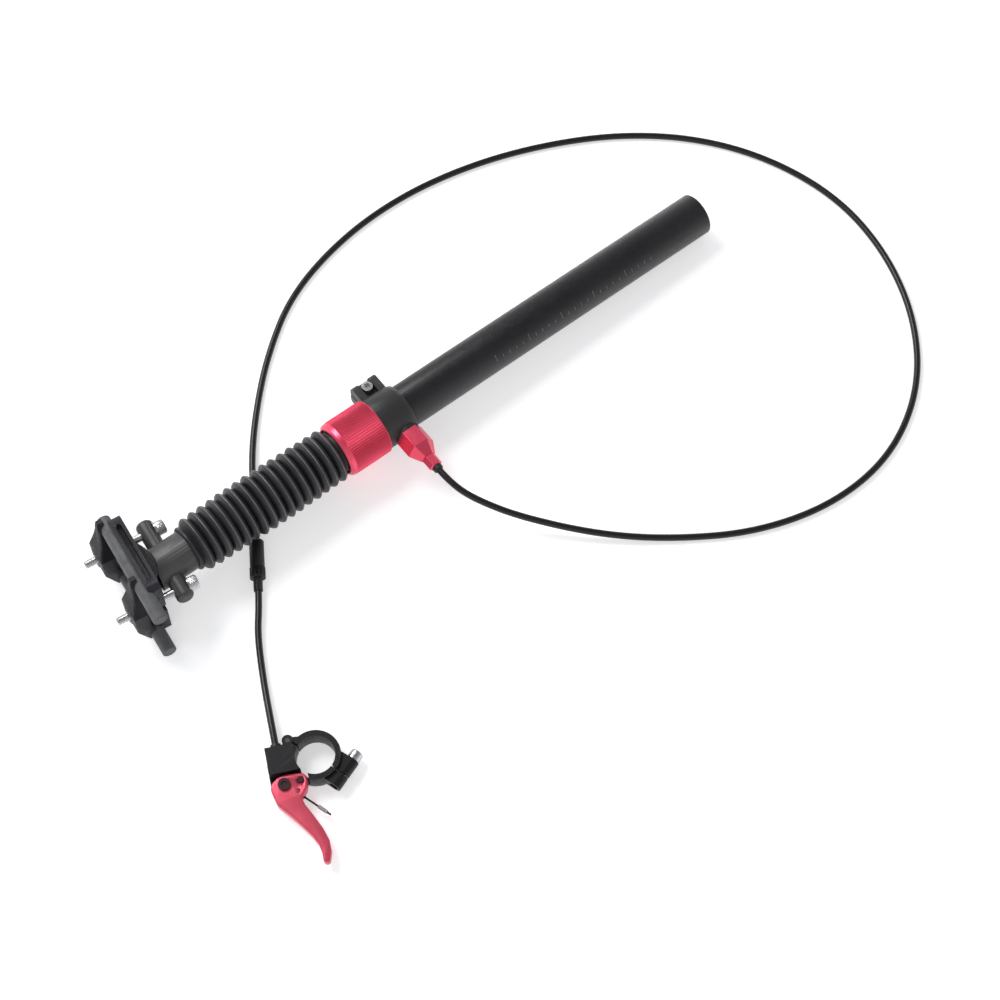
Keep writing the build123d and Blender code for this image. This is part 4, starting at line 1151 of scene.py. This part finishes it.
def rounded_lever():
    """The lever with its upper rim well rounded for the thumb, its lower rim eased and its holes crisp."""
    mesh = carved("thumb_piece", "lever", [])
    shape = bmesh.new()
    shape.from_mesh(mesh)
    bmesh.ops.dissolve_limit(shape, angle_limit=LEVER_FLAT_ANGLE, verts=shape.verts, edges=shape.edges)
    holes = [(at_remote(x, y, 0), reach) for x, y, reach in LEVER_HOLES]
    for upward, width in ((1, LEVER_ROUND), (-1, LEVER_EASE)):
        rim = []
        for edge in shape.edges:
            flat = [face for face in edge.link_faces if face.normal.z * upward > UPRIGHT]
            wall = [face for face in edge.link_faces if abs(face.normal.z) < LEVEL]
            middle = (edge.verts[0].co + edge.verts[1].co) / 2
            if flat and wall and all((middle - hole).xy.length > reach for hole, reach in holes):
                rim.append(edge)
        bmesh.ops.bevel(shape, geom=rim, offset=width, segments=LEVER_ROUND_STEPS, profile=0.5,
                        affect="EDGES", clamp_overlap=False)
    bmesh.ops.recalc_face_normals(shape, faces=shape.faces)
    shape.to_mesh(mesh)
    shape.free()
    return mesh


class SEATPOST_OT_lever(bpy.types.Operator):
    """Finish the thumb lever, its pivot and the wire that it pulls"""

    bl_idname = "seatpost.lever"
    bl_label = "Thumb lever"

    def execute(self, context):
        mesh = rounded_lever()
        piece = place_piece("thumb_piece", mesh, lever_red(), "thumb_lever", sharp=50)
        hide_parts("lever")
        dress(steel_dark(), "pivot_bolt", "anchor_screw", soft=FINE_EDGE)
        dress(steel_bright(), "wire_crimp")
        rows = []
        for k in range(TAIL_STEPS + 1):
            height = TAIL_LENGTH * k / TAIL_STEPS

            def strands(share, height=height):
                return TAIL_CORE + STRAND_RISE * abs(cos(pi * STRANDS * (share + height / STRAND_LAY)))
            rows.append((height, strands))
        along = remote_direction(cos(TAIL_TURN), sin(TAIL_TURN))
        mesh = ring_stack("twisted_wire", stand(at_remote(*TAIL_START), along), rows, segments=TAIL_SIDES)
        piece = place_piece("twisted_wire", mesh, steel_dark(), "thumb_lever")
        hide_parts("wire_tail")
        return {"FINISHED"}


class SEATPOST_OT_stage(bpy.types.Operator):
    """Build the pale floor, the soft lights, the white surroundings and the camera"""

    bl_idname = "seatpost.stage"
    bl_label = "Stage"

    def execute(self, context):
        scene = context.scene
        floor = bpy.data.meshes.new("floor")
        signs = ((-1, -1), (1, -1), (1, 1), (-1, 1))
        corners = [(x * FLOOR_REACH, y * FLOOR_REACH, FLOOR) for x, y in signs]
        floor.from_pydata(corners, [], [(0, 1, 2, 3)])
        floor.materials.append(floor_white())
        ground = bpy.data.objects.new("floor", floor)
        scene.collection.objects.link(ground)
        white_surroundings(scene)
        soft_light("key", **KEY_LAMP)
        soft_light("fill", **FILL_LAMP)
        camera = bpy.data.objects.new("camera", bpy.data.cameras.new("camera"))
        camera.data.lens = FOCAL_LENGTH_MM
        camera.data.sensor_width = SENSOR_WIDTH_MM
        camera.data.clip_start = NEAREST_SEEN
        camera.location = CAMERA_PLACE
        aim = Vector(CAMERA_AIM) - camera.location
        camera.rotation_euler = aim.to_track_quat("-Z", "Y").to_euler()
        scene.collection.objects.link(camera)
        scene.camera = camera
        scene.view_settings.view_transform = "Standard"
        return {"FINISHED"}


def floor_white():
    """Matt white that keeps shadows and reads as white where nothing shades it."""
    made = bpy.data.materials.new("floor_white")
    made.use_nodes = True
    tree = made.node_tree
    tree.nodes.clear()
    matt = tree.nodes.new("ShaderNodeBsdfDiffuse")
    matt.inputs["Color"].default_value = FLOOR_COLOUR
    lift = tree.nodes.new("ShaderNodeEmission")
    strength = tree.nodes.new("ShaderNodeMath")
    strength.operation = "MULTIPLY"
    strength.inputs[1].default_value = FLOOR_LIFT
    both = tree.nodes.new("ShaderNodeAddShader")
    out = tree.nodes.new("ShaderNodeOutputMaterial")
    tree.links.new(seeing_rays(tree), strength.inputs[0])
    tree.links.new(strength.outputs[0], lift.inputs["Strength"])
    tree.links.new(matt.outputs[0], both.inputs[0])
    tree.links.new(lift.outputs[0], both.inputs[1])
    tree.links.new(both.outputs[0], out.inputs["Surface"])
    return made


def seeing_rays(tree):
    """1 for the rays that see the background: the camera's own, and those by way of metal or glass."""
    path = tree.nodes.new("ShaderNodeLightPath")
    seen = path.outputs["Is Camera Ray"]
    for name in ("Is Glossy Ray", "Is Transmission Ray"):
        either = tree.nodes.new("ShaderNodeMath")
        either.operation = "MAXIMUM"
        tree.links.new(seen, either.inputs[0])
        tree.links.new(path.outputs[name], either.inputs[1])
        seen = either.outputs[0]
    return seen


def white_surroundings(scene):
    """Soft white light, brighter near the horizon."""
    world = bpy.data.worlds.new("surroundings")
    world.use_nodes = True
    scene.world = world
    tree = world.node_tree
    tree.nodes.clear()
    light = tree.nodes.new("ShaderNodeBackground")
    light.inputs["Color"].default_value = SKY_COLOUR
    direction = tree.nodes.new("ShaderNodeTexCoord")
    apart = tree.nodes.new("ShaderNodeSeparateXYZ")
    tree.links.new(direction.outputs["Generated"], apart.inputs["Vector"])
    level = spread(tree, apart.outputs["Z"], *SKY_LEVELS, *SKY_HEIGHTS)
    tree.links.new(level, light.inputs["Strength"])
    out = tree.nodes.new("ShaderNodeOutputWorld")
    tree.links.new(light.outputs[0], out.inputs["Surface"])


def soft_light(name, place, size, power):
    """A square soft box that faces the post."""
    lamp = bpy.data.lights.new(name, "AREA")
    lamp.size = size
    lamp.energy = power
    box = bpy.data.objects.new(name, lamp)
    box.location = place
    box.rotation_euler = (-Vector(place)).to_track_quat("-Z", "Y").to_euler()
    bpy.context.scene.collection.objects.link(box)


PIECE_OPERATORS = (
    SEATPOST_OT_cables,
    SEATPOST_OT_outer_tube,
    SEATPOST_OT_collar,
    SEATPOST_OT_nut,
    SEATPOST_OT_gaiter,
    SEATPOST_OT_inner_post,
    SEATPOST_OT_springs,
    SEATPOST_OT_head,
    SEATPOST_OT_clamp,
    SEATPOST_OT_clamp_bolts,
    SEATPOST_OT_lock,
    SEATPOST_OT_remote,
    SEATPOST_OT_lever,
)


class SEATPOST_PT_sidebar(bpy.types.Panel):
    """Lists the sizes, the colours and the pieces"""

    bl_label = "Seatpost"
    bl_idname = "SEATPOST_PT_sidebar"
    bl_space_type = "VIEW_3D"
    bl_region_type = "UI"
    bl_category = "Seatpost"

    def draw(self, context):
        for group in (context.scene.seatpost_sizes, context.scene.seatpost_colours):
            for name in group.bl_rna.properties.keys():
                if name not in ("rna_type", "name"):
                    self.layout.prop(group, name)
        for operator in (*PIECE_OPERATORS, SEATPOST_OT_stage):
            self.layout.operator(operator.bl_idname)


CLASSES = (SeatpostSizes, SeatpostColours, *PIECE_OPERATORS, SEATPOST_OT_stage, SEATPOST_PT_sidebar)


def register():
    for cls in CLASSES:
        bpy.utils.register_class(cls)
    bpy.types.Scene.seatpost_sizes = PointerProperty(type=SeatpostSizes)
    bpy.types.Scene.seatpost_colours = PointerProperty(type=SeatpostColours)


def unregister():
    del bpy.types.Scene.seatpost_colours
    del bpy.types.Scene.seatpost_sizes
    for cls in reversed(CLASSES):
        bpy.utils.unregister_class(cls)


def main():
    """Builds every piece and the stage."""
    register()
    bpy.ops.seatpost.stage()
    for operator in PIECE_OPERATORS:
        group, call = operator.bl_idname.split(".")
        getattr(getattr(bpy.ops, group), call)()
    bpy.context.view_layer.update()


if __name__ == "__main__":
    main()
